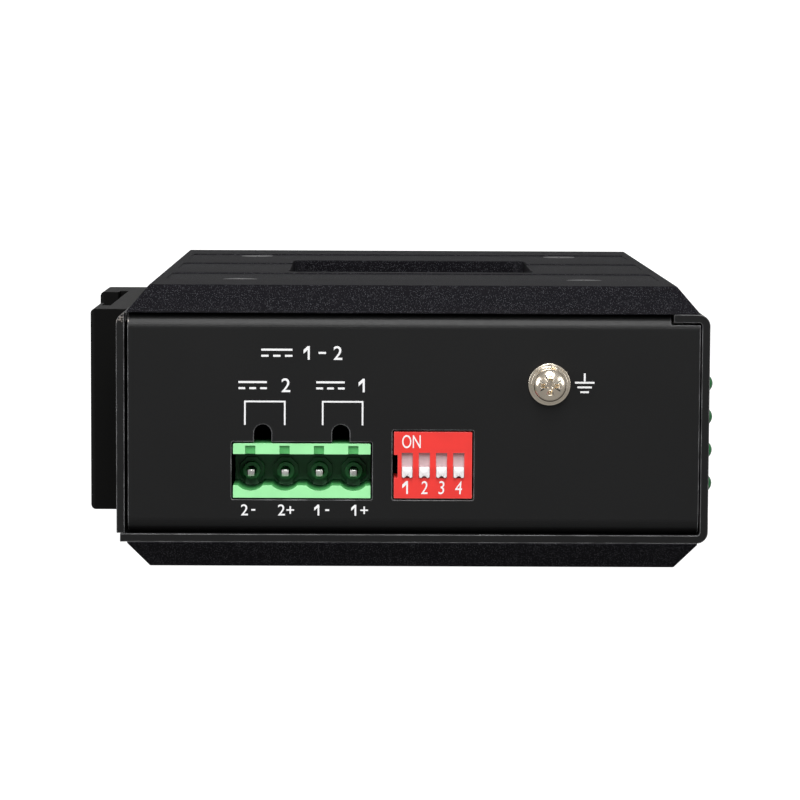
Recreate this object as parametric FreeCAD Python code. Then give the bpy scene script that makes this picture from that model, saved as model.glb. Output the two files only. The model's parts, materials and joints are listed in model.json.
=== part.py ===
"""Slim industrial Ethernet switch for a 35 mm DIN rail.

A folded chassis and a folded cover are held between two chamfered side plates. The frame is the
mounted one, in millimetres: +Z is up, the rail runs along X, the front panel faces -Y, and the
origin is the middle of the seat that lies against the rail. The power end is the upper end.
"""
import FreeCAD
import Part
import math
import os

from FreeCAD import Vector

# Enclosure, two folded sheets
BODY_WIDTH = 34.0            # along X, between the side plates
BODY_HEIGHT = 114.0          # along Z, over the end faces
BODY_DEPTH = 87.6            # along Y, over the front panel and the back wall
SHEET = 1.2
BEND_INSIDE = 0.5            # also the width of the slit beside the rear bend
END_BEND_INSIDE = 1.1        # wider bends of the cover's two ends
FOOT_FLANGE = 4.0            # inward flange at the foot of each end, over its bend
FRONT_SEAM = 0.25            # end face to front panel
FLANGE_LENGTH = 5.4          # return flange of the front panel, over the bend
FLANGE_SEAM = 0.35           # round the return flange
LAP_CLEARANCE = 0.1          # between sheets that lap or meet
BASE_STEP = 0.5              # back wall stands this far behind the base plate's edge
TAB_HALF_WIDTH = 30.0        # rear tab of the chassis, along Z
TAB_HEIGHT = 27.0
TAB_RELIEF = 1.0
SLIT_DEPTH = 2.6             # corner slit between end face and back wall

# Side plates
PLATE_THICKNESS = 4.0
PLATE_INSET = 1.55           # plate's edge to front panel and to back wall
PLATE_RIM = 0.2              # square edge below the chamfer
CHAMFER_RUN = 3.2
BAND_WIDTH = 18.2            # shallow bands across the plate
BAND_LAND = 12.0             # raised strip between two bands
BAND_DEPTH = 0.2
BAND_END = 1.4               # band's closed end to the chamfer
BAND_CORNER = 1.2
POCKET_LENGTH = 36.0         # along Z
POCKET_WIDTH = 39.0          # along Y
POCKET_DEPTH = 2.0
POCKET_CORNER = 2.0
EDGE_BREAK = 0.25            # softened edges
SIDE_SCREW_Y = 26.4          # from the plate's middle
SIDE_NUT_ROOM = 0.9          # between port block and nuts

# Screws and weld nuts, M3
SCREW_RADIUS = 1.45
HOLE_RADIUS = 1.65
SUNK_HEAD_RADIUS = 2.75
SUNK_HEAD_HEIGHT = 1.55
SUNK_HEAD_GAP = 0.04
NUT_RADIUS = 3.0
NUT_HEIGHT = 1.9
NUT_BORE_RADIUS = 1.5
SCREW_TIP = 0.4              # screw's end past its nut
RECESS_SPAN = 3.0            # cross recess
RECESS_SLOT = 0.55
RECESS_DEPTH = 1.0
RIM_SHARE = 0.55             # of a pan head's height
SIDES = 8                    # of small round shanks and bores that stay out of sight
HEAD_SIDES = 16              # of small screw heads, status lights and capacitors
DOME_SIDES = 40              # of the ground screw's domed head
DOME_STEPS = 3               # rings of a domed head or light

# DIN rail clip
CLIP_WIDTH = 31.4            # along X
CLIP_LENGTH = 58.0           # along Z
CLIP_BASE = 3.7              # back wall to rail seat
RAIL_WIDTH = 35.0
RAIL_SLOT = 1.4              # under each hook
RAIL_CLEARANCE = 0.3         # at the lower hook's root
SPRING_ROOM = 3.1            # extra depth of the upper slot
UPPER_LIP = 1.1              # hook over the rail's upper edge
LOWER_LIP = 3.2              # hook under the rail's lower edge
HOOK_OVERLAP = 2.6
CLIP_EDGE = 0.8
CLIP_SCREW_X = 9.5
CLIP_SCREW_Z = 7.5
SPRING_LENGTH = 27.0
SPRING_STRIP = 0.4
SPRING_HEIGHT = 1.2
SPRING_FOOT = 3.0

# Circuit board
BOARD_SEAT = 3.8             # base plate to board
BOARD_THICKNESS = 1.6
BOARD_END_GAP = 2.4          # board's edge to end faces' outside
BOARD_REAR_GAP = 5.4         # board's edge to back wall's outside
BOARD_FRONT_GAP = 3.4        # board's edge to front panel's outside
STANDOFF_RADIUS = 2.7
STANDOFF_INSET_Z = 4.6       # from the board's edge
STANDOFF_INSET_Y = 5.0
STANDOFF_SPAN_Y = 50.0
BOARD_HOLE_RADIUS = 1.7
BOARD_SCREW_HEAD = 2.7
BOARD_SCREW_HEIGHT = 1.7
BOARD_SCREW_REACH = 3.0      # shank below the board

# Power header: four poles, open ends
POLES = 4
POLE_PITCH = 5.08
HEADER_OFFSET = 16.4         # behind the body's middle, along Y
HEADER_HEIGHT = 8.1          # off the board
HEADER_DEPTH = 10.4
SOCKET_DEPTH = 8.4
HEADER_TOP_WALL = 1.6
HEADER_BOTTOM_WALL = 1.85
SCALLOP_RADIUS = 2.6
SCALLOP_DEPTH = 0.8
KEY_WIDTH = 1.5              # keyways in the top wall
KEY_DEPTH = 0.5
KEY_WALL = 0.35
PIN_HEIGHT = 3.35            # pin's axis above the board
PIN_SIDE = 1.0
PIN_TIP = 3.2                # below the socket's rim
PIN_BEND = 1.2               # pin's upright part behind the housing
PIN_TAIL = 1.6               # leads past the board's underside
PIN_CLEARANCE = 0.02
COLLAR_SPAN = 3.7            # octagonal collar round each pin, across flats
COLLAR_RISE = 0.7
BOSS_RADIUS = 1.3
BOSS_RISE = 1.5
BOSS_WELL = 0.75
BOSS_WELL_DEPTH = 0.8
RIB_WIDTH = 2.0
CUTOUT_GAP = 0.24            # round header and switch
SLOT_WIDTH = 2.6             # latch slots over the header
SLOT_FLAT = 0.02             # between the two rounds of a slot's end
SLOT_SPACING = 11.54
SLOT_RISE = 2.6              # over the cut-out
FACE_RECESS = 0.1            # parts lie this far behind the end face

# DIP switch
WAYS = 4
WAY_PITCH = 2.54
DIP_OFFSET = -3.0            # from the body's middle, along Y
DIP_WIDTH = 11.55
DIP_HEIGHT = 9.9
DIP_DEPTH = 5.8
DIP_FACE = 0.8
DIP_KEY_WIDTH = 0.55         # notch in the side
DIP_KEY_HEIGHT = 3.4
WINDOW_WIDTH = 1.64
WINDOW_HEIGHT = 3.72
WINDOW_BASE = 3.05           # above the switch's foot
SLIDER_TRAVEL = 2.0
SLIDER_PLAY = 0.06
SLIDER_PLATE = 1.1
KNOB_WIDTH = 1.52
KNOB_PROUD = 0.5
KNOB_NOTCH = 0.42
DIP_LEAD_WIDTH = 0.5
DIP_LEAD_THICK = 0.3
DIP_ROW_SPACING = 2.54
LEAD_HOLE_GAP = 0.12

# Ground screw and washers
GROUND_FROM_FRONT = 23.7     # screw's axis to the front panel's outside
GROUND_FROM_RIGHT = 10.35    # screw's axis to the cover's right wall
WASHER_RADIUS = 3.1
WASHER_THICKNESS = 0.5
SPRING_WASHER_RADIUS = 2.72
SPRING_WASHER_THICKNESS = 0.7
SPRING_WASHER_SPLIT = 0.5
GROUND_HEAD_RADIUS = 2.4
GROUND_HEAD_HEIGHT = 1.95
GROUND_RECESS_DEPTH = 1.3

# Port block: two rows of four sockets
PORT_COLUMNS = 4
PORT_ROWS = 2
PORT_PITCH = 13.97
PORT_DROP = 3.5              # block's middle below the body's middle
PORT_END_WALL = 1.75
PORT_ROOF = 1.45             # over the latch tongues
PORT_BLOCK_DEPTH = 24.0
PORT_PROUD = 0.3             # shield in front of the panel
PORT_WIDTH = 11.8
PORT_HEIGHT = 6.9
PORT_DEPTH = 14.5
PORT_WALL = 3.0              # block's middle wall, between the rows
LATCH_WIDTH = 6.2
LATCH_STEP = 1.5
TONGUE_WIDTH = 3.4
TONGUE_STEP = 1.3
SHIELD = 0.25
SHIELD_GAP = 0.05
SHIELD_LIP = 0.35            # shield's window to the socket
FINGER_WIDTH = 1.6           # spring fingers against the panel
FINGER_LENGTH = 5.0
FINGER_BULGE = 0.5
PANEL_GAP = 0.75             # panel's cut-out round the shield
CONTACTS = 8
CONTACT_PITCH = 1.02
CONTACT_WIDTH = 0.46
CONTACT_THICK = 0.3
CONTACT_START = 3.0
CONTACT_FLAT = 1.6
CONTACT_REACH = 6.4
CONTACT_RISE = 2.4
LIGHT_WIDTH = 2.1
LIGHT_HEIGHT = 1.3
LIGHT_DEPTH = 8.0
LIGHT_GAP = 0.35             # port light to the socket

# Status lights
LIGHTS = 4
LIGHT_PITCH = 5.08
LED_RADIUS = 1.5
LED_PROUD = 2.0
LED_FLANGE_RADIUS = 1.85
LED_FLANGE = 1.0
LED_BODY = 5.3               # dome's tip to the rear face
LED_FROM_RIGHT = 11.4        # first light to the cover's right wall
LED_FROM_TOP = 15.0
LED_HOLE_GAP = 0.12
HOLDER_LENGTH = 6.6          # along Z
HOLDER_DEPTH = 6.2
HOLDER_TOP = 3.0             # over the first light's axis
HOLDER_FOOT = 4.6            # ledge on the board
HOLDER_FOOT_THICK = 2.0
HOLDER_GAP = 0.3
HOLDER_SCREW_BELOW = 4.2     # screw's axis under the last light
SMALL_SCREW_RADIUS = 0.95
SMALL_HEAD_RADIUS = 1.6
SMALL_HEAD_HEIGHT = 1.5
LED_LEAD = 0.45
LED_LEAD_SPACING = 2.54
LED_LEAD_STEP = 1.1

# Parts on the board: Y from the board's middle, Z from the ports' middle or down from the upper end
CHIP_SIDE = 20.0
CHIP_THICKNESS = 1.4
CHIP_Y = 9.0
CHIP_Z = -4.5
SINK_SIDE = 20.0
SINK_BASE = 2.0
SINK_HEIGHT = 9.0
SINK_FINS = 6
SINK_FIN = 1.2
MEMORY_LENGTH = 5.3
MEMORY_WIDTH = 5.2
MEMORY_HEIGHT = 1.75
MEMORY_Y = 28.0
MEMORY_Z = -6.5
CRYSTAL_LENGTH = 11.4
CRYSTAL_WIDTH = 4.7
CRYSTAL_HEIGHT = 3.6
CRYSTAL_Y = 10.0
CRYSTAL_Z = 11.5
TRANSFORMER_LENGTH = 17.5
TRANSFORMER_WIDTH = 9.6
TRANSFORMER_HEIGHT = 5.8
TRANSFORMERS = 3
TRANSFORMER_PITCH = 19.0
TRANSFORMER_Y = -11.0
TRANSFORMER_Z = -17.0
CAPACITOR_RADIUS = 4.0
CAPACITOR_HEIGHT = 11.5
CAPACITORS = 2
CAPACITOR_PITCH = 9.2
CAPACITOR_Y = 30.0
CAPACITOR_TO_TOP = 45.0
INDUCTOR_SIDE = 12.0
INDUCTOR_HEIGHT = 6.5
INDUCTOR_Y = 10.0
INDUCTOR_TO_TOP = 33.0
FUSE_LENGTH = 10.2
FUSE_RADIUS = 1.7
FUSE_Y = 31.0
FUSE_TO_TOP = 25.5
RECTIFIER_LENGTH = 8.0
RECTIFIER_WIDTH = 6.3
RECTIFIER_HEIGHT = 2.6
RECTIFIER_Y = -4.0
RECTIFIER_TO_TOP = 21.0

# Levels worked out from the sizes above
BEND_OUTSIDE = BEND_INSIDE + SHEET
END_BEND_OUTSIDE = END_BEND_INSIDE + SHEET
RIGHT = BODY_WIDTH / 2
LEFT = -RIGHT
TOP = BODY_HEIGHT / 2
BOTTOM = -TOP
BACK = -CLIP_BASE
FRONT = BACK - BODY_DEPTH
MIDDLE_Y = (BACK + FRONT) / 2
END_REAR = BACK - BEND_OUTSIDE
END_FRONT = FRONT + SHEET + FRONT_SEAM
PLATE_FRONT = FRONT + PLATE_INSET
PLATE_REAR = BACK - PLATE_INSET
PLATE_OUT = RIGHT + PLATE_THICKNESS
BOARD_UNDER = LEFT + SHEET + BOARD_SEAT
BOARD_TOP = BOARD_UNDER + BOARD_THICKNESS
BOARD_HALF = TOP - BOARD_END_GAP
BOARD_REAR = BACK - BOARD_REAR_GAP
BOARD_FRONT = FRONT + BOARD_FRONT_GAP
BOARD_MIDDLE_Y = (BOARD_REAR + BOARD_FRONT) / 2
HEADER_Y = MIDDLE_Y + HEADER_OFFSET
HEADER_WIDTH = POLES * POLE_PITCH
HEADER_FACE = TOP - FACE_RECESS
PIN_X = BOARD_TOP + PIN_HEIGHT
DIP_Y = MIDDLE_Y + DIP_OFFSET
GROUND_Y = FRONT + GROUND_FROM_FRONT
GROUND_X = RIGHT - GROUND_FROM_RIGHT
PORT_Z = -PORT_DROP
PORT_BLOCK_LENGTH = (PORT_COLUMNS - 1) * PORT_PITCH + PORT_WIDTH + 2 * PORT_END_WALL
PORT_BLOCK_HEIGHT = PORT_WALL + 2 * (PORT_HEIGHT + LATCH_STEP + TONGUE_STEP + PORT_ROOF)
PORT_SHIELD_HALF = PORT_BLOCK_LENGTH / 2 + SHIELD_GAP + SHIELD
PORT_FACE = FRONT - PORT_PROUD + SHIELD + SHIELD_GAP
PORT_X = BOARD_TOP + PORT_BLOCK_HEIGHT / 2
SIDE_SCREW_Z = PORT_DROP + PORT_SHIELD_HALF + SIDE_NUT_ROOM + NUT_RADIUS
LED_Z = TOP - LED_FROM_TOP
LED_X = RIGHT - LED_FROM_RIGHT
HOLDER_FACE = FRONT + SHEET + LAP_CLEARANCE
HOLDER_REAR = HOLDER_FACE + HOLDER_DEPTH
HOLDER_SCREW_X = LED_X - (LIGHTS - 1) * LIGHT_PITCH - HOLDER_SCREW_BELOW

AXES = {"x": Vector(1, 0, 0), "y": Vector(0, 1, 0), "z": Vector(0, 0, 1)}
FAR = 60.0                   # cutting tools run this far past the part


def point(axis, level, a, b):
    """Point at a level on one axis; a and b are its other two coordinates, in X, Y, Z order."""
    places = {"x": (level, a, b), "y": (a, level, b), "z": (a, b, level)}
    return Vector(*places[axis])


def block(x0, x1, y0, y1, z0, z1):
    """Rectangular block between two corners."""
    return Part.makeBox(x1 - x0, y1 - y0, z1 - z0, Vector(x0, y0, z0))


def rod(radius, axis, low, high, a, b):
    """Cylinder along an axis."""
    return Part.makeCylinder(radius, high - low, point(axis, low, a, b), AXES[axis])


def many_sided(radius, axis, low, high, a, b, sides=SIDES):
    """Prism with its corners on a circle, for a small shank or bore that stays out of sight."""
    turns = [math.pi * (2 * index + 1) / sides for index in range(sides)]
    corners = [(a + radius * math.cos(turn), b + radius * math.sin(turn), 0) for turn in turns]
    return prism(corners, axis, low, high)


def rectangle(a0, a1, b0, b1, radius=0.0):
    """Corners of a rectangle with equal corner radii."""
    return [(a0, b0, radius), (a1, b0, radius), (a1, b1, radius), (a0, b1, radius)]


def outline(corners, axis, level):
    """Closed wire through (a, b, radius) corners, with an arc at each corner that has a radius."""
    starts = []
    middles = []
    ends = []
    for index, (a, b, radius) in enumerate(corners):
        here = Vector(a, b, 0)
        before = Vector(corners[index - 1][0], corners[index - 1][1], 0).sub(here).normalize()
        following = corners[(index + 1) % len(corners)]
        after = Vector(following[0], following[1], 0).sub(here).normalize()
        half = before.getAngle(after) / 2
        reach = radius / math.tan(half)
        starts.append(here + before * reach)
        ends.append(here + after * reach)
        inward = (before + after).normalize() if radius else Vector(0, 0, 0)
        middles.append(here + inward * (radius / math.sin(half) - radius))
    edges = []
    for index, (a, b, radius) in enumerate(corners):
        start = point(axis, level, starts[index].x, starts[index].y)
        end = point(axis, level, ends[index].x, ends[index].y)
        if radius:
            middle = point(axis, level, middles[index].x, middles[index].y)
            edges.append(Part.Arc(start, middle, end).toShape())
        onward = starts[(index + 1) % len(corners)]
        target = point(axis, level, onward.x, onward.y)
        if end.distanceToPoint(target) > 1e-6:
            edges.append(Part.LineSegment(end, target).toShape())
    return Part.Wire(edges)


def prism(corners, axis, low, high):
    """Outline drawn across an axis and extruded along it."""
    return Part.Face(outline(corners, axis, low)).extrude(AXES[axis] * (high - low))


def joined(shapes):
    """One solid from shapes that overlap or share faces."""
    shapes = list(shapes)
    if len(shapes) == 1:
        return shapes[0]
    return shapes[0].fuse(shapes[1:]).removeSplitter()


def without(shape, tools):
    """Shape with tools cut away."""
    tools = list(tools)
    return shape.cut(Part.makeCompound(tools)) if tools else shape


def placed(shape, position, direction):
    """Copy of a shape drawn along +Z, set at a position and pointed along a direction."""
    copy = shape.copy()
    copy.Placement = FreeCAD.Placement(position, FreeCAD.Rotation(AXES["z"], direction))
    return copy


def group(shapes):
    """Separate solids that share one node."""
    return Part.makeCompound(list(shapes))


def cross_recess(top, depth, span):
    """Cross recess cut down into a screw head whose top is at the given level."""
    floor = top - depth
    rise = top + depth
    blades = []
    for axis in ("x", "y"):
        taper = [
            (-span / 4, floor, 0), (span / 4, floor, 0), (span * 3 / 4, rise, 0), (-span * 3 / 4, rise, 0),
        ]
        blades.append(prism(taper, axis, -RECESS_SLOT / 2, RECESS_SLOT / 2))
    return joined(blades)


def faceted(rings, sides):
    """Solid of flat facets along +Z, through rings given as (radius, level) from the foot up."""
    turns = [math.pi * (2 * index + 1) / sides for index in range(sides)]
    loops = []
    for radius, level in rings:
        loops.append([Vector(radius * math.cos(turn), radius * math.sin(turn), level) for turn in turns])
    faces = [Part.Face(Part.makePolygon(loop + loop[:1])) for loop in (loops[0], loops[-1])]
    for lower, upper in zip(loops, loops[1:]):
        for index in range(sides):
            after = (index + 1) % sides
            corners = [lower[index], lower[after], upper[after], upper[index]]
            faces.append(Part.Face(Part.makePolygon(corners + corners[:1])))
    solid = Part.Solid(Part.Shell(faces))
    if solid.Volume < 0:
        solid.reverse()
    return solid


def dome_rings(radius, foot, height):
    """Rings of a dome on a foot level; it ends in a small flat crown."""
    rings = []
    for step in range(DOME_STEPS):
        turn = math.pi / 2 * step / (DOME_STEPS - 0.5)
        rings.append((radius * math.cos(turn), foot + height * math.sin(turn)))
    return rings


def sunk_head(gap):
    """Rings of a countersunk head with its flat top at zero, widened all round by a gap."""
    return [(SCREW_RADIUS + gap, -SUNK_HEAD_HEIGHT), (SUNK_HEAD_RADIUS + gap, 0)]


def sunk_screw(length):
    """Countersunk screw along +Z: the head's flat top at zero, the shank below it."""
    shank = many_sided(SCREW_RADIUS, "z", -length, -SUNK_HEAD_HEIGHT, 0, 0)
    return joined([faceted(sunk_head(0), HEAD_SIDES), shank]).cut(cross_recess(0, RECESS_DEPTH, RECESS_SPAN))


def sunk_hole(length):
    """Hole for a countersunk screw, along +Z with its mouth at zero."""
    bore = many_sided(HOLE_RADIUS, "z", -length, -SUNK_HEAD_HEIGHT * 0.8, 0, 0)
    return joined([faceted(sunk_head(SUNK_HEAD_GAP), HEAD_SIDES), bore])


def flat_screw(shank_radius, length, head_radius, head_height, span, depth):
    """Screw with a cylindrical head along +Z: the shank below zero, the head above it."""
    head = many_sided(head_radius, "z", 0, head_height, 0, 0, HEAD_SIDES)
    shank = many_sided(shank_radius, "z", -length, 0, 0, 0)
    return joined([head, shank]).cut(cross_recess(head_height, depth, span))


def pan_screw(shank_radius, length, head_radius, head_height, span, depth, sides=HEAD_SIDES):
    """Pan-head screw along +Z: the shank below zero, the domed head above it."""
    rim = head_height * RIM_SHARE
    head = faceted([(head_radius, 0)] + dome_rings(head_radius, rim, head_height - rim), sides)
    shank = many_sided(shank_radius, "z", -length, 0, 0, 0)
    return joined([head, shank]).cut(cross_recess(head_height, depth, span))


def weld_nut():
    """Nut along +Z, its foot on the sheet at zero."""
    body = many_sided(NUT_RADIUS, "z", 0, NUT_HEIGHT, 0, 0)
    return body.cut(many_sided(NUT_BORE_RADIUS, "z", 0, NUT_HEIGHT, 0, 0))


def side_screw_places():
    """Y and Z of the four screws of a side plate."""
    plate_middle = (PLATE_FRONT + PLATE_REAR) / 2
    return [(plate_middle + sy * SIDE_SCREW_Y, sz * SIDE_SCREW_Z) for sy in (-1, 1) for sz in (-1, 1)]


def clip_screw_places():
    """X and Z of the four screws of the rail clip."""
    return [(sx * CLIP_SCREW_X, sz * CLIP_SCREW_Z) for sx in (-1, 1) for sz in (-1, 1)]


def standoff_places():
    """Y and Z of the four board standoffs."""
    rear = BOARD_REAR - STANDOFF_INSET_Y
    reach = BOARD_HALF - STANDOFF_INSET_Z
    return [(y, sz * reach) for y in (rear, rear - STANDOFF_SPAN_Y) for sz in (-1, 1)]


def light_places():
    """X of each status light."""
    return [LED_X - index * LIGHT_PITCH for index in range(LIGHTS)]


def port_window():
    """Corners of the front panel's cut-out for the port block, in X and Z."""
    half_height = PORT_BLOCK_HEIGHT / 2 + SHIELD_GAP + SHIELD + PANEL_GAP
    half_length = PORT_BLOCK_LENGTH / 2 + SHIELD_GAP + SHIELD + PANEL_GAP
    return rectangle(
        max(PORT_X - half_height, LEFT + BEND_OUTSIDE), min(PORT_X + half_height, RIGHT - BEND_OUTSIDE),
        PORT_Z - half_length, PORT_Z + half_length, PANEL_GAP)


def base_chassis():
    """Folded sheet: base plate, front panel with its return flange, and the rear tab."""
    base_rear = BACK - BASE_STEP
    flange_end = FRONT + FLANGE_LENGTH
    folded = prism(
        [
            (LEFT, base_rear, 0), (LEFT, FRONT, BEND_OUTSIDE), (RIGHT, FRONT, BEND_OUTSIDE),
            (RIGHT, flange_end, EDGE_BREAK), (RIGHT - SHEET, flange_end, 0),
            (RIGHT - SHEET, FRONT + SHEET, BEND_INSIDE), (LEFT + SHEET, FRONT + SHEET, BEND_INSIDE),
            (LEFT + SHEET, base_rear, 0),
        ], "z", BOTTOM, TOP)
    tab_out = BACK - SHEET - LAP_CLEARANCE
    tab_root = tab_out - BEND_OUTSIDE - SHEET
    tab_tip = LEFT + TAB_HEIGHT
    relief = TAB_HALF_WIDTH + TAB_RELIEF
    tab = prism(
        [
            (LEFT, tab_root, 0), (LEFT, tab_out, BEND_OUTSIDE), (tab_tip, tab_out, 0),
            (tab_tip, tab_out - SHEET, 0), (LEFT + SHEET, tab_out - SHEET, BEND_INSIDE),
            (LEFT + SHEET, tab_root, 0),
        ], "z", -TAB_HALF_WIDTH, TAB_HALF_WIDTH)
    notch = block(LEFT - SHEET, LEFT + 2 * SHEET, tab_root, base_rear + SHEET, -relief, relief)
    chassis = joined([folded.cut(notch), tab])
    cuts = [prism(port_window(), "y", FRONT - SHEET, FRONT + 2 * SHEET)]
    for x in light_places():
        cuts.append(rod(LED_RADIUS + LED_HOLE_GAP, "y", FRONT - SHEET, FRONT + 2 * SHEET, x, LED_Z))
    screw_hole = SMALL_SCREW_RADIUS + LED_HOLE_GAP
    cuts.append(rod(screw_hole, "y", FRONT - SHEET, FRONT + 2 * SHEET, HOLDER_SCREW_X, LED_Z))
    for y, z in side_screw_places():
        cuts.append(many_sided(HOLE_RADIUS, "x", LEFT - SHEET, LEFT + 2 * SHEET, y, z))
    for x, z in clip_screw_places():
        cuts.append(many_sided(HOLE_RADIUS, "y", tab_out - 2 * SHEET, tab_out + SHEET, x, z))
    return without(chassis, cuts)


def header_cutout():
    """Tools that cut the end face round the power header, with the two latch slots."""
    half = HEADER_WIDTH / 2 + CUTOUT_GAP
    low = BOARD_TOP - CUTOUT_GAP
    high = BOARD_TOP + HEADER_HEIGHT + CUTOUT_GAP
    window = rectangle(low, high, HEADER_Y - half, HEADER_Y + half, CUTOUT_GAP)
    tools = [prism(window, "z", TOP - 2 * SHEET, TOP + SHEET)]
    for side in (-1, 1):
        y = HEADER_Y + side * SLOT_SPACING / 2
        slot = [
            (high - SHEET, y - SLOT_WIDTH / 2, 0), (high - SHEET, y + SLOT_WIDTH / 2, 0),
            (high + SLOT_RISE, y + SLOT_WIDTH / 2, (SLOT_WIDTH - SLOT_FLAT) / 2),
            (high + SLOT_RISE, y - SLOT_WIDTH / 2, (SLOT_WIDTH - SLOT_FLAT) / 2),
        ]
        tools.append(prism(slot, "z", TOP - 2 * SHEET, TOP + SHEET))
    return tools


def dip_cutout():
    """Tool that cuts the end face round the DIP switch."""
    half = DIP_WIDTH / 2 + CUTOUT_GAP
    corners = rectangle(
        BOARD_TOP - CUTOUT_GAP, BOARD_TOP + DIP_HEIGHT + CUTOUT_GAP, DIP_Y - half, DIP_Y + half, CUTOUT_GAP)
    return prism(corners, "z", TOP - 2 * SHEET, TOP + SHEET)


def end_walls():
    """Right wall and both end walls, with an inward flange at each end wall's foot."""
    foot = LEFT + SHEET + LAP_CLEARANCE
    inner = RIGHT - SHEET
    flange = foot + SHEET
    profile = []
    for side in (-1, 1):
        face = side * TOP
        inside = side * (TOP - SHEET)
        tip = side * (TOP - FOOT_FLANGE)
        arm = [
            (inner, inside, END_BEND_INSIDE), (flange, inside, END_BEND_INSIDE), (flange, tip, 0),
            (foot, tip, 0), (foot, face, END_BEND_OUTSIDE), (RIGHT, face, END_BEND_OUTSIDE),
        ]
        profile += arm if side < 0 else arm[::-1]
    return prism(profile, "y", END_FRONT, END_REAR)


def cover_shell():
    """Folded sheet: right wall, both end walls and the back wall."""
    foot = LEFT + SHEET + LAP_CLEARANCE
    wall_front = FRONT + FLANGE_LENGTH + FLANGE_SEAM
    inner = RIGHT - SHEET
    notch = block(inner - FLANGE_SEAM, FAR, END_FRONT - SHEET, wall_front, -FAR, FAR)
    back = prism(
        [
            (foot, BACK, 0), (foot, BACK - SHEET, 0), (inner, BACK - SHEET, BEND_INSIDE),
            (inner, END_REAR, 0), (RIGHT, END_REAR, 0), (RIGHT, BACK, BEND_OUTSIDE),
        ], "z", BOTTOM, TOP)
    slits = []
    for side in (-1, 1):
        root = side * (TOP - SLIT_DEPTH)
        past = side * (TOP + SHEET)
        slits.append(block(
            LEFT, RIGHT + SHEET, END_REAR, BACK - SHEET, min(root, past), max(root, past)))
    shell = without(joined([end_walls().cut(notch), back]), slits)
    cuts = header_cutout()
    cuts.append(dip_cutout())
    cuts.append(many_sided(HOLE_RADIUS, "z", TOP - 2 * SHEET, TOP + SHEET, GROUND_X, GROUND_Y))
    for y, z in side_screw_places():
        cuts.append(many_sided(HOLE_RADIUS, "x", inner - SHEET, RIGHT + SHEET, y, z))
    for x, z in clip_screw_places():
        cuts.append(many_sided(HOLE_RADIUS, "y", BACK - 2 * SHEET, BACK + SHEET, x, z))
    return without(shell, cuts)


def band_places():
    """Z of the middle of each shallow band."""
    step = BAND_WIDTH + BAND_LAND
    return [-step, 0, step]


def side_plate():
    """Right side plate; the left one is its mirror image."""
    root = RIGHT + PLATE_RIM
    rim = prism(rectangle(PLATE_FRONT, PLATE_REAR, BOTTOM, TOP), "x", RIGHT, root)
    lower = outline(rectangle(PLATE_FRONT, PLATE_REAR, BOTTOM, TOP), "x", root)
    flat = rectangle(
        PLATE_FRONT + CHAMFER_RUN, PLATE_REAR - CHAMFER_RUN, BOTTOM + CHAMFER_RUN, TOP - CHAMFER_RUN)
    slope = Part.makeLoft([lower, outline(flat, "x", PLATE_OUT)], True, True)
    cuts = []
    band_front = PLATE_FRONT + CHAMFER_RUN + BAND_END
    band_rear = PLATE_REAR - CHAMFER_RUN - BAND_END
    for z in band_places():
        corners = rectangle(band_front, band_rear, z - BAND_WIDTH / 2, z + BAND_WIDTH / 2, BAND_CORNER)
        cuts.append(prism(corners, "x", PLATE_OUT - BAND_DEPTH, PLATE_OUT + SHEET))
    middle = (PLATE_FRONT + PLATE_REAR) / 2
    half_width = POCKET_WIDTH / 2
    half_length = POCKET_LENGTH / 2
    pocket = rectangle(middle - half_width, middle + half_width, -half_length, half_length, POCKET_CORNER)
    cuts.append(prism(pocket, "x", PLATE_OUT - POCKET_DEPTH, PLATE_OUT + SHEET))
    hole = sunk_hole(PLATE_THICKNESS + SHEET)
    for y, z in side_screw_places():
        cuts.append(placed(hole, Vector(PLATE_OUT - BAND_DEPTH, y, z), AXES["x"]))
    return without(joined([rim, slope]), cuts)


def side_screws():
    """Four countersunk screws of the right side plate."""
    length = PLATE_THICKNESS - BAND_DEPTH + SHEET + NUT_HEIGHT + SCREW_TIP
    screw = sunk_screw(length)
    return group(placed(screw, Vector(PLATE_OUT - BAND_DEPTH, y, z), AXES["x"]) for y, z in side_screw_places())


def side_nuts():
    """Four weld nuts under the right side plate's screws."""
    nut = weld_nut()
    return group(placed(nut, Vector(RIGHT - SHEET, y, z), AXES["x"] * -1) for y, z in side_screw_places())


def mirrored(shape):
    """Left-hand copy of a right-hand piece."""
    return shape.mirror(Vector(0, 0, 0), AXES["x"])


def enclosure():
    """Sheets, side plates and what fastens them."""
    plate = side_plate()
    screws = side_screws()
    nuts = side_nuts()
    return {
        "base_chassis": base_chassis(),
        "cover_shell": cover_shell(),
        "side_plate_right": plate,
        "side_plate_left": mirrored(plate),
        "side_screws_right": screws,
        "side_screws_left": mirrored(screws),
        "side_nuts_right": nuts,
        "side_nuts_left": mirrored(nuts),
    }


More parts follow.
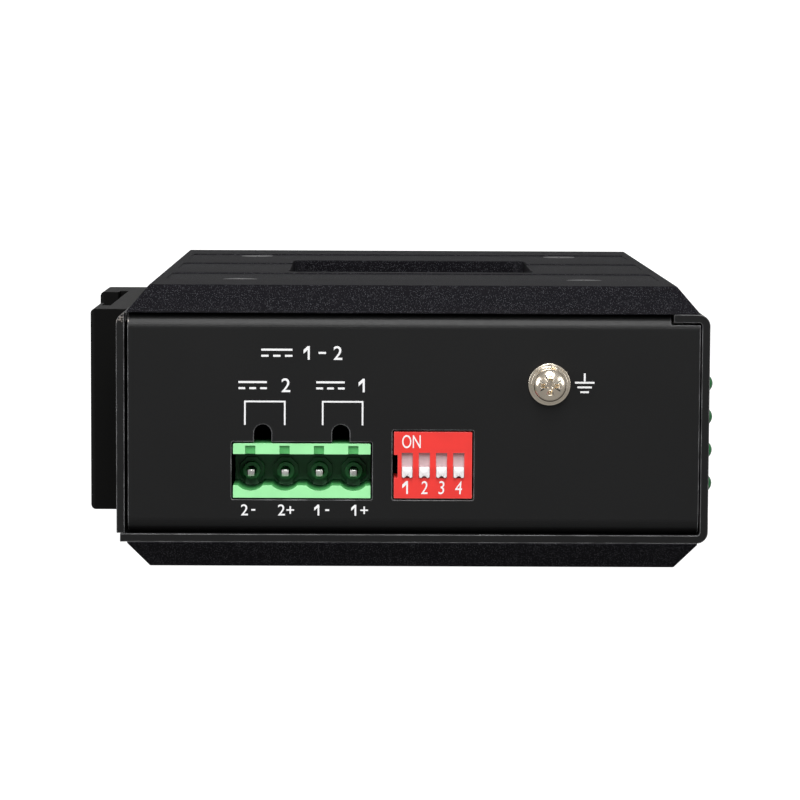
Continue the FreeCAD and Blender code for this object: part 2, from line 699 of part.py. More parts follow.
def din_clip():
    """Rail clip: a plate with an upper and a lower hook, one profile across the rail."""
    half_rail = RAIL_WIDTH / 2
    end = CLIP_LENGTH / 2
    upper = RAIL_SLOT + UPPER_LIP
    lower = RAIL_SLOT + LOWER_LIP
    lip = half_rail - HOOK_OVERLAP
    upper_root = half_rail + SPRING_ROOM
    lower_root = -half_rail - RAIL_CLEARANCE
    clip = prism(
        [
            (BACK, -end, 0), (lower, -end, CLIP_EDGE), (lower, -lip, CLIP_EDGE),
            (RAIL_SLOT, -lip, EDGE_BREAK), (RAIL_SLOT, lower_root, EDGE_BREAK), (0, lower_root, EDGE_BREAK),
            (0, upper_root, 0), (RAIL_SLOT, upper_root, 0), (RAIL_SLOT, lip, EDGE_BREAK),
            (upper, lip, CLIP_EDGE), (upper, end, CLIP_EDGE), (BACK, end, 0),
        ], "x", -CLIP_WIDTH / 2, CLIP_WIDTH / 2)
    halves = []
    for crest, low, high in ((lower, -end, 0), (upper, 0, end)):
        rounded = rectangle(-CLIP_WIDTH / 2, CLIP_WIDTH / 2, BACK - 2 * SHEET, crest, CLIP_EDGE)
        halves.append(prism(rounded, "z", low, high))
    clip = clip.common(joined(halves))
    hole = sunk_hole(CLIP_BASE + SHEET)
    return without(clip, [placed(hole, Vector(x, 0, z), AXES["y"]) for x, z in clip_screw_places()])


def rail_spring():
    """Bowed strip in the upper hook's slot; it bears down on the rail's edge."""
    root = RAIL_WIDTH / 2 + SPRING_ROOM
    crown = RAIL_WIDTH / 2 + SPRING_STRIP
    half = SPRING_LENGTH / 2
    low = (RAIL_SLOT - SPRING_HEIGHT) / 2
    outer = [Vector(-half, low, root), Vector(-half + SPRING_FOOT, low, root)]
    edges = [Part.LineSegment(outer[0], outer[1]).toShape()]
    edges.append(Part.Arc(outer[1], Vector(0, low, crown), Vector(half - SPRING_FOOT, low, root)).toShape())
    edges.append(Part.LineSegment(Vector(half - SPRING_FOOT, low, root), Vector(half, low, root)).toShape())
    edges.append(Part.LineSegment(Vector(half, low, root), Vector(half, low, root - SPRING_STRIP)).toShape())
    inner_foot = half - SPRING_FOOT + SPRING_STRIP / 2
    under = root - SPRING_STRIP
    edges.append(Part.LineSegment(Vector(half, low, under), Vector(inner_foot, low, under)).toShape())
    bow = Vector(0, low, crown - SPRING_STRIP)
    edges.append(Part.Arc(Vector(inner_foot, low, under), bow, Vector(-inner_foot, low, under)).toShape())
    edges.append(Part.LineSegment(Vector(-inner_foot, low, under), Vector(-half, low, under)).toShape())
    edges.append(Part.LineSegment(Vector(-half, low, under), outer[0]).toShape())
    return Part.Face(Part.Wire(edges)).extrude(AXES["y"] * SPRING_HEIGHT)


def rail_mount():
    """Clip, its spring, and the screws and nuts that hold it to the chassis."""
    tab_in = BACK - 2 * SHEET - LAP_CLEARANCE
    screw = sunk_screw(CLIP_BASE + 2 * SHEET + LAP_CLEARANCE + NUT_HEIGHT + SCREW_TIP)
    nut = weld_nut()
    return {
        "din_clip": din_clip(),
        "rail_spring": rail_spring(),
        "clip_screws": group(placed(screw, Vector(x, 0, z), AXES["y"]) for x, z in clip_screw_places()),
        "clip_nuts": group(placed(nut, Vector(x, tab_in, z), AXES["y"] * -1) for x, z in clip_screw_places()),
    }


def ground_terminal():
    """Ground screw with its flat and spring washers, and the nut inside the end face."""
    seat = TOP + WASHER_THICKNESS
    shank = WASHER_THICKNESS + SPRING_WASHER_THICKNESS + SHEET + NUT_HEIGHT + SCREW_TIP
    screw = pan_screw(
        SCREW_RADIUS, shank, GROUND_HEAD_RADIUS, GROUND_HEAD_HEIGHT, RECESS_SPAN, GROUND_RECESS_DEPTH, DOME_SIDES)
    head_seat = Vector(GROUND_X, GROUND_Y, seat + SPRING_WASHER_THICKNESS)
    bore = many_sided(NUT_BORE_RADIUS, "z", TOP, head_seat.z, GROUND_X, GROUND_Y)
    flat = rod(WASHER_RADIUS, "z", TOP, seat, GROUND_X, GROUND_Y).cut(bore)
    spring = rod(SPRING_WASHER_RADIUS, "z", seat, head_seat.z, GROUND_X, GROUND_Y).cut(bore)
    split = block(0, FAR, -SPRING_WASHER_SPLIT / 2, SPRING_WASHER_SPLIT / 2, -FAR, FAR)
    split.Placement = FreeCAD.Placement(Vector(GROUND_X, GROUND_Y, seat), FreeCAD.Rotation(Vector(1, 0, 0), 40))
    return {
        "ground_screw": placed(screw, head_seat, AXES["z"]),
        "ground_spring_washer": spring.cut(split),
        "ground_flat_washer": flat,
        "ground_nut": placed(weld_nut(), Vector(GROUND_X, GROUND_Y, TOP - SHEET), AXES["z"] * -1),
    }


def lead_holes():
    """Tools for the board's square lead holes: header pins, DIP leads and light leads."""
    places = [(y, pin_foot_z(), PIN_SIDE) for y in pole_places()]
    places += [(y, z, DIP_LEAD_WIDTH) for y, z in dip_lead_places()]
    places += [led_lead_foot(index, side) + (LED_LEAD,) for index, side in led_lead_list()]
    tools = []
    for y, z, width in places:
        reach = width / 2 + LEAD_HOLE_GAP
        tools.append(block(BOARD_UNDER - SHEET, BOARD_TOP + SHEET, y - reach, y + reach, z - reach, z + reach))
    return tools


def main_board():
    """Circuit board, with a corner cut away for the light holder."""
    board = block(BOARD_UNDER, BOARD_TOP, BOARD_FRONT, BOARD_REAR, -BOARD_HALF, BOARD_HALF)
    reach = HOLDER_REAR + HOLDER_GAP
    corner_low = LED_Z - HOLDER_LENGTH / 2 - HOLDER_GAP
    corner = block(BOARD_UNDER - SHEET, BOARD_TOP + SHEET, BOARD_FRONT - SHEET, reach, corner_low, TOP)
    holes = [
        many_sided(BOARD_HOLE_RADIUS, "x", BOARD_UNDER - SHEET, BOARD_TOP + SHEET, y, z)
        for y, z in standoff_places()
    ]
    return without(board, [corner] + holes + lead_holes())


def board_standoffs():
    """Welded standoffs that carry the board off the base plate."""
    solids = []
    for y, z in standoff_places():
        post = many_sided(STANDOFF_RADIUS, "x", LEFT + SHEET, BOARD_UNDER, y, z)
        bore = many_sided(NUT_BORE_RADIUS, "x", LEFT + SHEET, BOARD_UNDER, y, z)
        solids.append(post.cut(bore))
    return group(solids)


def board_screws():
    """Screws that hold the board on its standoffs."""
    screw = flat_screw(
        SCREW_RADIUS, BOARD_THICKNESS + BOARD_SCREW_REACH, BOARD_SCREW_HEAD, BOARD_SCREW_HEIGHT, RECESS_SPAN,
        RECESS_DEPTH)
    return group(placed(screw, Vector(BOARD_TOP, y, z), AXES["x"]) for y, z in standoff_places())


def pole_places():
    """Y of each pole of the power header."""
    return [HEADER_Y + (index - (POLES - 1) / 2) * POLE_PITCH for index in range(POLES)]


def pin_foot_z():
    """Z of the upright part of the header's pins."""
    return HEADER_FACE - HEADER_DEPTH - PIN_BEND


def octagon(x, y, span):
    """Corners of a regular octagon in X and Y, by its width across flats."""
    reach = span / 2 / math.cos(math.pi / 8)
    turns = [math.pi / 8 + index * math.pi / 4 for index in range(8)]
    return [(x + reach * math.cos(turn), y + reach * math.sin(turn), 0) for turn in turns]


def power_header():
    """Green header housing: open ends, keyed top wall, scalloped bottom wall, a collar at each pin."""
    rear = HEADER_FACE - HEADER_DEPTH
    floor = HEADER_FACE - SOCKET_DEPTH
    low = BOARD_TOP
    high = BOARD_TOP + HEADER_HEIGHT
    y0 = HEADER_Y - HEADER_WIDTH / 2
    y1 = HEADER_Y + HEADER_WIDTH / 2
    housing = prism(
        [
            (low, y0, 0), (low, y1, 0), (high, y1, EDGE_BREAK), (high, y0, EDGE_BREAK),
        ], "z", rear, HEADER_FACE)
    socket = block(low + HEADER_BOTTOM_WALL, high - HEADER_TOP_WALL, y0 - SHEET, y1 + SHEET, floor, TOP + SHEET)
    scallops = []
    keys = []
    collars = []
    for y in pole_places():
        crest = low + HEADER_BOTTOM_WALL + SCALLOP_RADIUS - SCALLOP_DEPTH
        scallops.append(rod(SCALLOP_RADIUS, "z", floor, TOP + SHEET, crest, y))
        keys.append(block(
            high - HEADER_TOP_WALL - SHEET, high - KEY_WALL, y - KEY_WIDTH / 2, y + KEY_WIDTH / 2,
            HEADER_FACE - KEY_DEPTH, TOP + SHEET))
        collar = prism(octagon(PIN_X, y, COLLAR_SPAN), "z", floor, floor + COLLAR_RISE)
        boss = rod(BOSS_RADIUS, "z", floor, floor + COLLAR_RISE + BOSS_RISE, PIN_X, y)
        rib = block(
            low + HEADER_BOTTOM_WALL - SCALLOP_DEPTH, PIN_X, y - RIB_WIDTH / 2, y + RIB_WIDTH / 2,
            floor - KEY_WALL, floor + COLLAR_RISE + KEY_WALL)
        collars += [collar, boss, rib]
    ceiling = block(low, high - HEADER_TOP_WALL, y0, y1, rear, TOP + SHEET)
    housing = without(housing, [socket] + scallops + keys)
    housing = joined([housing] + [collar.common(ceiling) for collar in collars])
    wells = []
    half = PIN_SIDE / 2 + PIN_CLEARANCE
    for y in pole_places():
        top = floor + COLLAR_RISE + BOSS_RISE
        wells.append(many_sided(BOSS_WELL, "z", top - BOSS_WELL_DEPTH, top + SHEET, PIN_X, y))
        wells.append(block(PIN_X - half, PIN_X + half, y - half, y + half, rear - SHEET, TOP))
    return without(housing, wells)


def header_pins():
    """Square pins: straight through the housing, then down through the board."""
    half = PIN_SIDE / 2
    foot = pin_foot_z()
    tip = HEADER_FACE - PIN_TIP
    solids = []
    for y in pole_places():
        pin = prism(
            [
                (PIN_X - half, tip, 0), (PIN_X + half, tip, 0), (PIN_X + half, foot - half, half),
                (BOARD_UNDER - PIN_TAIL, foot - half, 0),
                (BOARD_UNDER - PIN_TAIL, foot + half, 0), (PIN_X - half, foot + half, 0),
            ], "y", y - half, y + half)
        solids.append(pin)
    return group(solids)


def way_places():
    """Y of each way of the DIP switch, from the first to the last."""
    return [DIP_Y + ((WAYS - 1) / 2 - index) * WAY_PITCH for index in range(WAYS)]


def dip_lead_places():
    """Y and Z of the DIP switch's leads on the board."""
    rear = TOP - FACE_RECESS - DIP_DEPTH
    rows = [rear + DIP_LEAD_WIDTH, rear + DIP_LEAD_WIDTH + DIP_ROW_SPACING]
    return [(y, z) for y in way_places() for z in rows if z < BOARD_HALF - DIP_LEAD_WIDTH]


def slider_levels():
    """Front and rear of the sliders' plates, and the lower and upper end of a slider's channel."""
    face = TOP - FACE_RECESS
    front = face - DIP_FACE - SLIDER_PLAY
    rear = front - SLIDER_PLATE
    window_low = BOARD_TOP + WINDOW_BASE
    low = window_low - SLIDER_TRAVEL - 4 * SLIDER_PLAY
    high = window_low + WINDOW_HEIGHT + SLIDER_TRAVEL + 4 * SLIDER_PLAY
    return front, rear, low, high


def dip_body():
    """Red switch body with a window and a closed channel for each slider."""
    face = TOP - FACE_RECESS
    y0 = DIP_Y - DIP_WIDTH / 2
    y1 = DIP_Y + DIP_WIDTH / 2
    body = prism(
        rectangle(BOARD_TOP, BOARD_TOP + DIP_HEIGHT, y0, y1, EDGE_BREAK / 2), "z", face - DIP_DEPTH, face)
    front, rear, low, high = slider_levels()
    window_low = BOARD_TOP + WINDOW_BASE
    tools = []
    for y in way_places():
        tools.append(block(
            window_low, window_low + WINDOW_HEIGHT, y - WINDOW_WIDTH / 2, y + WINDOW_WIDTH / 2,
            front, TOP + SHEET))
        tools.append(block(
            low, high, y - WINDOW_WIDTH / 2 - SLIDER_PLAY, y + WINDOW_WIDTH / 2 + SLIDER_PLAY,
            rear - SLIDER_PLAY, front + SLIDER_PLAY))
    key_low = window_low
    tools.append(block(
        key_low, key_low + DIP_KEY_HEIGHT, y1 - DIP_KEY_WIDTH, y1 + SHEET, face - DIP_DEPTH - SHEET, TOP + SHEET))
    return without(body, tools)


def dip_slider(y):
    """White slider at rest, in the off place: a plate behind the face and a knob in the window."""
    face = TOP - FACE_RECESS
    front, rear, low, high = slider_levels()
    window_low = BOARD_TOP + WINDOW_BASE
    half = WINDOW_WIDTH / 2
    plate_low = window_low - SLIDER_TRAVEL - 2 * SLIDER_PLAY
    plate_high = window_low + WINDOW_HEIGHT + 2 * SLIDER_PLAY
    plate = block(plate_low, plate_high, y - half, y + half, rear, front)
    knob_low = window_low + SLIDER_PLAY
    knob_high = window_low + WINDOW_HEIGHT - SLIDER_TRAVEL - SLIDER_PLAY
    knob = prism(
        [
            (knob_low, y - KNOB_WIDTH / 2, EDGE_BREAK), (knob_high, y - KNOB_WIDTH / 2, EDGE_BREAK / 2),
            (knob_high, y + KNOB_WIDTH / 2, EDGE_BREAK / 2), (knob_low, y + KNOB_WIDTH / 2, EDGE_BREAK),
        ], "z", front - SLIDER_PLAY, face + KNOB_PROUD)
    notch = rod(KNOB_NOTCH, "z", front, face + 2 * KNOB_PROUD, knob_low - KNOB_NOTCH / 3, y)
    return joined([plate, knob.cut(notch)])


def dip_switch():
    """Body, four sliders and the leads."""
    parts = {"dip_body": dip_body()}
    for index, y in enumerate(way_places()):
        parts["dip_slider_%d" % (index + 1)] = dip_slider(y)
    half = DIP_LEAD_WIDTH / 2
    parts["dip_leads"] = group(
        block(
            BOARD_UNDER - PIN_TAIL, BOARD_TOP, y - half, y + half,
            z - DIP_LEAD_THICK / 2, z + DIP_LEAD_THICK / 2)
        for y, z in dip_lead_places())
    return parts


def port_places():
    """Row side (+1 right, -1 left) and Z of each socket."""
    columns = [PORT_Z + (index - (PORT_COLUMNS - 1) / 2) * PORT_PITCH for index in range(PORT_COLUMNS)]
    return [(side, z) for side in (-1, 1) for z in columns]


def port_shape(side, z, gap=0.0):
    """Socket outline in X and Z: the plug's body, the latch step and the latch tongue."""
    inner = PORT_WALL / 2 - gap
    body = inner + PORT_HEIGHT + 2 * gap
    latch = body + LATCH_STEP
    tongue = latch + TONGUE_STEP
    half = PORT_WIDTH / 2 + gap
    half_latch = LATCH_WIDTH / 2 + gap
    half_tongue = TONGUE_WIDTH / 2 + gap
    steps = [
        (inner, -half), (body, -half), (body, -half_latch), (latch, -half_latch), (latch, -half_tongue),
        (tongue, -half_tongue), (tongue, half_tongue), (latch, half_tongue), (latch, half_latch),
        (body, half_latch), (body, half), (inner, half),
    ]
    return [(PORT_X + side * out, z + along, 0) for out, along in steps]


def light_corners(side, z, end):
    """Lower and upper corner of one port light, in X and Z."""
    x = PORT_X + side * (PORT_WALL / 2 + PORT_HEIGHT + LIGHT_GAP + LIGHT_HEIGHT / 2)
    along = z + end * (PORT_WIDTH / 2 - LIGHT_WIDTH / 2)
    return x - LIGHT_HEIGHT / 2, x + LIGHT_HEIGHT / 2, along - LIGHT_WIDTH / 2, along + LIGHT_WIDTH / 2


def port_housing():
    """Black insulator block with eight sockets, latches facing out."""
    rear = PORT_FACE + PORT_BLOCK_DEPTH
    housing = block(
        BOARD_TOP, BOARD_TOP + PORT_BLOCK_HEIGHT, PORT_FACE, rear,
        PORT_Z - PORT_BLOCK_LENGTH / 2, PORT_Z + PORT_BLOCK_LENGTH / 2)
    tools = []
    for side, z in port_places():
        tools.append(prism(port_shape(side, z), "y", PORT_FACE - SHEET, PORT_FACE + PORT_DEPTH))
        for end in (-1, 1):
            x0, x1, z0, z1 = light_corners(side, z, end)
            tools.append(block(x0, x1, PORT_FACE - SHEET, PORT_FACE + LIGHT_DEPTH, z0, z1))
    return without(housing, tools)


def port_shield():
    """Thin metal can over the port block: face with windows, roof, ends, and fingers at the panel."""
    gap = SHIELD_GAP
    x0 = BOARD_TOP + gap
    x1 = BOARD_TOP + PORT_BLOCK_HEIGHT + gap
    z0 = PORT_Z - PORT_BLOCK_LENGTH / 2 - gap
    z1 = PORT_Z + PORT_BLOCK_LENGTH / 2 + gap
    y0 = PORT_FACE - gap
    y1 = PORT_FACE + PORT_BLOCK_DEPTH + gap
    shell = block(x0, x1 + SHIELD, y0 - SHIELD, y1 + SHIELD, z0 - SHIELD, z1 + SHIELD)
    shell = shell.cut(block(x0 - SHEET, x1, y0, y1, z0, z1))
    tools = []
    for side, z in port_places():
        tools.append(prism(port_shape(side, z, SHIELD_LIP), "y", y0 - SHEET, y0 + gap / 2))
        for end in (-1, 1):
            a0, a1, b0, b1 = light_corners(side, z, end)
            tools.append(block(a0, a1, y0 - SHEET, y0 + gap / 2, b0, b1))
    shell = without(shell, tools)
    fingers = []
    start = FRONT + SHEET
    for side, z in port_places():
        if side < 0:
            continue
        fingers.append(prism(
            [
                (x1 + SHIELD / 2, start - SHEET, 0), (x1 + SHIELD / 2, start + FINGER_LENGTH, 0),
                (x1 + SHIELD + FINGER_BULGE, start + FINGER_LENGTH / 2, FINGER_LENGTH),
            ], "z", z - FINGER_WIDTH / 2, z + FINGER_WIDTH / 2))
    return joined([shell] + fingers)


def port_contacts():
    """Spring contacts, eight to a socket, rising from the wall between the rows."""
    solids = []
    for side, z in port_places():
        wall = PORT_X + side * PORT_WALL / 2
        y0 = PORT_FACE + CONTACT_START
        y1 = y0 + CONTACT_FLAT
        y2 = y1 + CONTACT_REACH
        thick = side * CONTACT_THICK
        rise = side * CONTACT_RISE
        corners = [
            (wall, y0, 0), (wall, y1, 0), (wall + rise, y2, 0), (wall + rise + thick, y2, 0),
            (wall + thick, y1 - CONTACT_THICK / 2, 0), (wall + thick, y0, 0),
        ]
        for index in range(CONTACTS):
            middle = z + (index - (CONTACTS - 1) / 2) * CONTACT_PITCH
            solids.append(prism(corners, "z", middle - CONTACT_WIDTH / 2, middle + CONTACT_WIDTH / 2))
    return group(solids)


def port_lights():
    """Light pipes in the outer corners of each socket."""
    solids = []
    for side, z in port_places():
        for end in (-1, 1):
            x0, x1, z0, z1 = light_corners(side, z, end)
            solids.append(block(x0, x1, PORT_FACE - SHIELD, PORT_FACE + LIGHT_DEPTH, z0, z1))
    return group(solids)


def port_block():
    """Sockets, shield, contacts and port lights."""
    return {
        "port_housing": port_housing(),
        "port_shield": port_shield(),
        "port_contacts": port_contacts(),
        "port_lights": port_lights(),
    }


def status_leds():
    """Green lights: a domed body through the panel, with a flange behind it."""
    dome_foot = LED_BODY - LED_RADIUS
    rings = [(LED_FLANGE_RADIUS, -LED_FLANGE), (LED_FLANGE_RADIUS, 0), (LED_RADIUS, 0)]
    light = faceted(rings + dome_rings(LED_RADIUS, dome_foot, LED_RADIUS), HEAD_SIDES)
    seat = FRONT - LED_PROUD + LED_BODY
    return group(placed(light, Vector(x, seat, LED_Z), AXES["y"] * -1) for x in light_places())


def led_holder():
    """Black holder behind the panel; its foot rests on the board."""
    low = HOLDER_SCREW_X - SMALL_HEAD_RADIUS + HOLDER_GAP
    high = LED_X + HOLDER_TOP
    z0 = LED_Z - HOLDER_LENGTH / 2
    z1 = LED_Z + HOLDER_LENGTH / 2
    holder = prism(rectangle(low, high, HOLDER_FACE, HOLDER_REAR), "z", z0, z1)
    foot = block(BOARD_TOP, BOARD_TOP + HOLDER_FOOT_THICK, HOLDER_REAR, HOLDER_REAR + HOLDER_FOOT, z0, z1)
    tools = []
    seat = FRONT - LED_PROUD + LED_BODY
    for x in light_places():
        tools.append(many_sided(
            LED_RADIUS + LED_HOLE_GAP, "y", HOLDER_FACE - SHEET, seat + SHEET, x, LED_Z, HEAD_SIDES))
        tools.append(many_sided(
            LED_FLANGE_RADIUS + LED_HOLE_GAP, "y", seat, HOLDER_REAR + HOLDER_FOOT + SHEET, x, LED_Z,
            HEAD_SIDES))
    tools.append(many_sided(SMALL_SCREW_RADIUS, "y", HOLDER_FACE - SHEET, HOLDER_REAR, HOLDER_SCREW_X, LED_Z))
    return without(joined([holder, foot]), tools)


def led_lead_list():
    """Each light's number with the side of each of its two leads."""
    return [(index, side) for index in range(LIGHTS) for side in (-1, 1)]


def led_lead_foot(index, side):
    """Y and Z of a light lead on the board."""
    y = HOLDER_REAR + HOLDER_FOOT + (LIGHTS - index) * LED_LEAD_STEP
    return y, LED_Z + side * LED_LEAD_SPACING / 2


def led_leads():
    """Bent leads from the lights back over the holder's foot and down through the board."""
    solids = []
    start = FRONT - LED_PROUD + LED_BODY + LED_FLANGE
    half = LED_LEAD / 2
    for index, side in led_lead_list():
        x = light_places()[index]
        y, z = led_lead_foot(index, side)
        solids.append(prism(
            [
                (x - half, start, 0), (x + half, start, 0), (x + half, y + half, 0),
                (BOARD_UNDER - PIN_TAIL, y + half, 0), (BOARD_UNDER - PIN_TAIL, y - half, 0),
                (x - half, y - half, 0),
            ], "z", z - half, z + half))
    return group(solids)


def light_row():
    """Lights, holder, leads and the holder's screw."""
    screw = pan_screw(
        SMALL_SCREW_RADIUS, LAP_CLEARANCE + HOLDER_DEPTH, SMALL_HEAD_RADIUS, SMALL_HEAD_HEIGHT,
        RECESS_SPAN * 0.6, RECESS_DEPTH * 0.6)
    return {
        "status_leds": status_leds(),
        "led_holder": led_holder(),
        "led_leads": led_leads(),
        "led_holder_screw": placed(screw, Vector(HOLDER_SCREW_X, FRONT, LED_Z), AXES["y"] * -1),
    }


def on_board(length_y, length_z, height, y, z, lift=0.0):
    """Block on the board: Y from the board's middle, Z in the frame."""
    y0 = BOARD_MIDDLE_Y + y - length_y / 2
    z0 = z - length_z / 2
    return block(BOARD_TOP + lift, BOARD_TOP + lift + height, y0, y0 + length_y, z0, z0 + length_z)


def chip_heatsink():
    """Finned heat sink on the switch chip."""
    chip_z = PORT_Z + CHIP_Z
    sink = on_board(SINK_SIDE, SINK_SIDE, SINK_HEIGHT, CHIP_Y, chip_z, CHIP_THICKNESS)
    pitch = (SINK_SIDE - SINK_FIN) / (SINK_FINS - 1)
    tools = []
    for index in range(SINK_FINS - 1):
        y = CHIP_Y - SINK_SIDE / 2 + SINK_FIN + index * pitch + (pitch - SINK_FIN) / 2
        tools.append(on_board(
            pitch - SINK_FIN, SINK_SIDE + SHEET, SINK_HEIGHT, y, chip_z, CHIP_THICKNESS + SINK_BASE))
    return without(sink, tools)


def electronics():
    """Main parts on the board."""
    parts = {
        "switch_chip": on_board(CHIP_SIDE, CHIP_SIDE, CHIP_THICKNESS, CHIP_Y, PORT_Z + CHIP_Z),
        "chip_heatsink": chip_heatsink(),
        "memory_chip": on_board(MEMORY_WIDTH, MEMORY_LENGTH, MEMORY_HEIGHT, MEMORY_Y, PORT_Z + MEMORY_Z),
        "crystal": on_board(CRYSTAL_LENGTH, CRYSTAL_WIDTH, CRYSTAL_HEIGHT, CRYSTAL_Y, PORT_Z + CRYSTAL_Z),
        "power_inductor": on_board(
            INDUCTOR_SIDE, INDUCTOR_SIDE, INDUCTOR_HEIGHT, INDUCTOR_Y, TOP - INDUCTOR_TO_TOP),
        "rectifier": on_board(
            RECTIFIER_WIDTH, RECTIFIER_LENGTH, RECTIFIER_HEIGHT, RECTIFIER_Y, TOP - RECTIFIER_TO_TOP),
    }
    parts["port_transformers"] = group(
        on_board(TRANSFORMER_WIDTH, TRANSFORMER_LENGTH, TRANSFORMER_HEIGHT, TRANSFORMER_Y,
                 PORT_Z + TRANSFORMER_Z + index * TRANSFORMER_PITCH)
        for index in range(TRANSFORMERS))
    parts["bulk_capacitors"] = group(
        many_sided(
            CAPACITOR_RADIUS, "x", BOARD_TOP, BOARD_TOP + CAPACITOR_HEIGHT, BOARD_MIDDLE_Y + CAPACITOR_Y,
            TOP - CAPACITOR_TO_TOP + index * CAPACITOR_PITCH, HEAD_SIDES)
        for index in range(CAPACITORS))
    parts["input_fuse"] = rod(
        FUSE_RADIUS, "y", BOARD_MIDDLE_Y + FUSE_Y - FUSE_LENGTH / 2, BOARD_MIDDLE_Y + FUSE_Y + FUSE_LENGTH / 2,
        BOARD_TOP + FUSE_RADIUS, TOP - FUSE_TO_TOP)
    return parts


def build():
    """All nodes by name."""
    parts = {}
    parts.update(enclosure())
    parts.update(rail_mount())
    parts.update(ground_terminal())
    parts["main_board"] = main_board()
    parts["board_standoffs"] = board_standoffs()
    parts["board_screws"] = board_screws()
    parts["power_header"] = power_header()
    parts["header_pins"] = header_pins()
    parts.update(dip_switch())
    parts.update(port_block())
    parts.update(light_row())
    parts.update(electronics())
    return parts


os.makedirs("parts", exist_ok=True)
for name, shape in build().items():
    shape.exportStep("parts/%s.step" % name)
    print("%-22s solids %3d volume %9.1f valid %s" % (name, len(shape.Solids), shape.Volume, shape.isValid()))
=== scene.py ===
"""Studio scene of a slim DIN rail Ethernet switch: finishes, print, lenses, camera and light."""
import json
import logging
import math
from contextlib import contextmanager
from dataclasses import dataclass, field, replace
from enum import Enum
from typing import Any, Callable, Dict, Iterator, List, Optional, Sequence, Set, Tuple

import bpy
from mathutils import Matrix, Vector


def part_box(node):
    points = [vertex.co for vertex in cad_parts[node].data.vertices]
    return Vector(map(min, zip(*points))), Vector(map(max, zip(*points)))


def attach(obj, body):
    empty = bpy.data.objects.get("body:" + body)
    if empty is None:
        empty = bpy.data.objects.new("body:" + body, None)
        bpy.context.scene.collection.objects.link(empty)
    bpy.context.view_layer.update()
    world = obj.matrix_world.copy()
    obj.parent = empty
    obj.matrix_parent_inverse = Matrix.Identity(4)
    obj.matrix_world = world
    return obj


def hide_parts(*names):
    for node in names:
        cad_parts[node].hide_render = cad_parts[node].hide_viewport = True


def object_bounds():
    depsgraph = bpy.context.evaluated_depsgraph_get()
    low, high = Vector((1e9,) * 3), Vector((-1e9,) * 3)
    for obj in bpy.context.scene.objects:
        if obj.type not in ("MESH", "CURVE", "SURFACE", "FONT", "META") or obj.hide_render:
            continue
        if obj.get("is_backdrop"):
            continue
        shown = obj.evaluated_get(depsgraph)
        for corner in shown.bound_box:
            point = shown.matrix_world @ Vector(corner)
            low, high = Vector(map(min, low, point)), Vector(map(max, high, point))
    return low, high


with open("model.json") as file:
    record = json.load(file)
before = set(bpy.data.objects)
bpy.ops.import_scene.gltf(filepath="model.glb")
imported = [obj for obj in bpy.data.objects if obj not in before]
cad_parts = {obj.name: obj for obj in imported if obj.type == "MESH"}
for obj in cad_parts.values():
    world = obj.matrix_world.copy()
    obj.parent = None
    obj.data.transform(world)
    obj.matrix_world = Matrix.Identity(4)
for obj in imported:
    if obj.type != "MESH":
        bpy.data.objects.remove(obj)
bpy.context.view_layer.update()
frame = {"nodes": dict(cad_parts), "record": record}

MM = 0.001
FINE_GRAIN = 2600.0  # grains of lint or chips of coat along a metre
WHITE = (1.0, 1.0, 1.0, 1.0)
LOG = logging.getLogger("rail_switch")

Point = Tuple[float, float, float]
Colour = Point
Material = bpy.types.Material
Piece = bpy.types.Object
Socket = bpy.types.NodeSocket
Outputs = Dict[str, Socket]
Tree = bpy.types.NodeTree


class Body(Enum):
    """Rigid bodies that a piece can ride on."""

    HOUSING = "housing"
    SLIDER_1 = "slider_1"
    SLIDER_2 = "slider_2"
    SLIDER_3 = "slider_3"
    SLIDER_4 = "slider_4"


class Ink(Enum):
    """Where a printed mark lies, by the record's material slot."""

    PANEL = "cover_black"
    SWITCH = "switch_red"


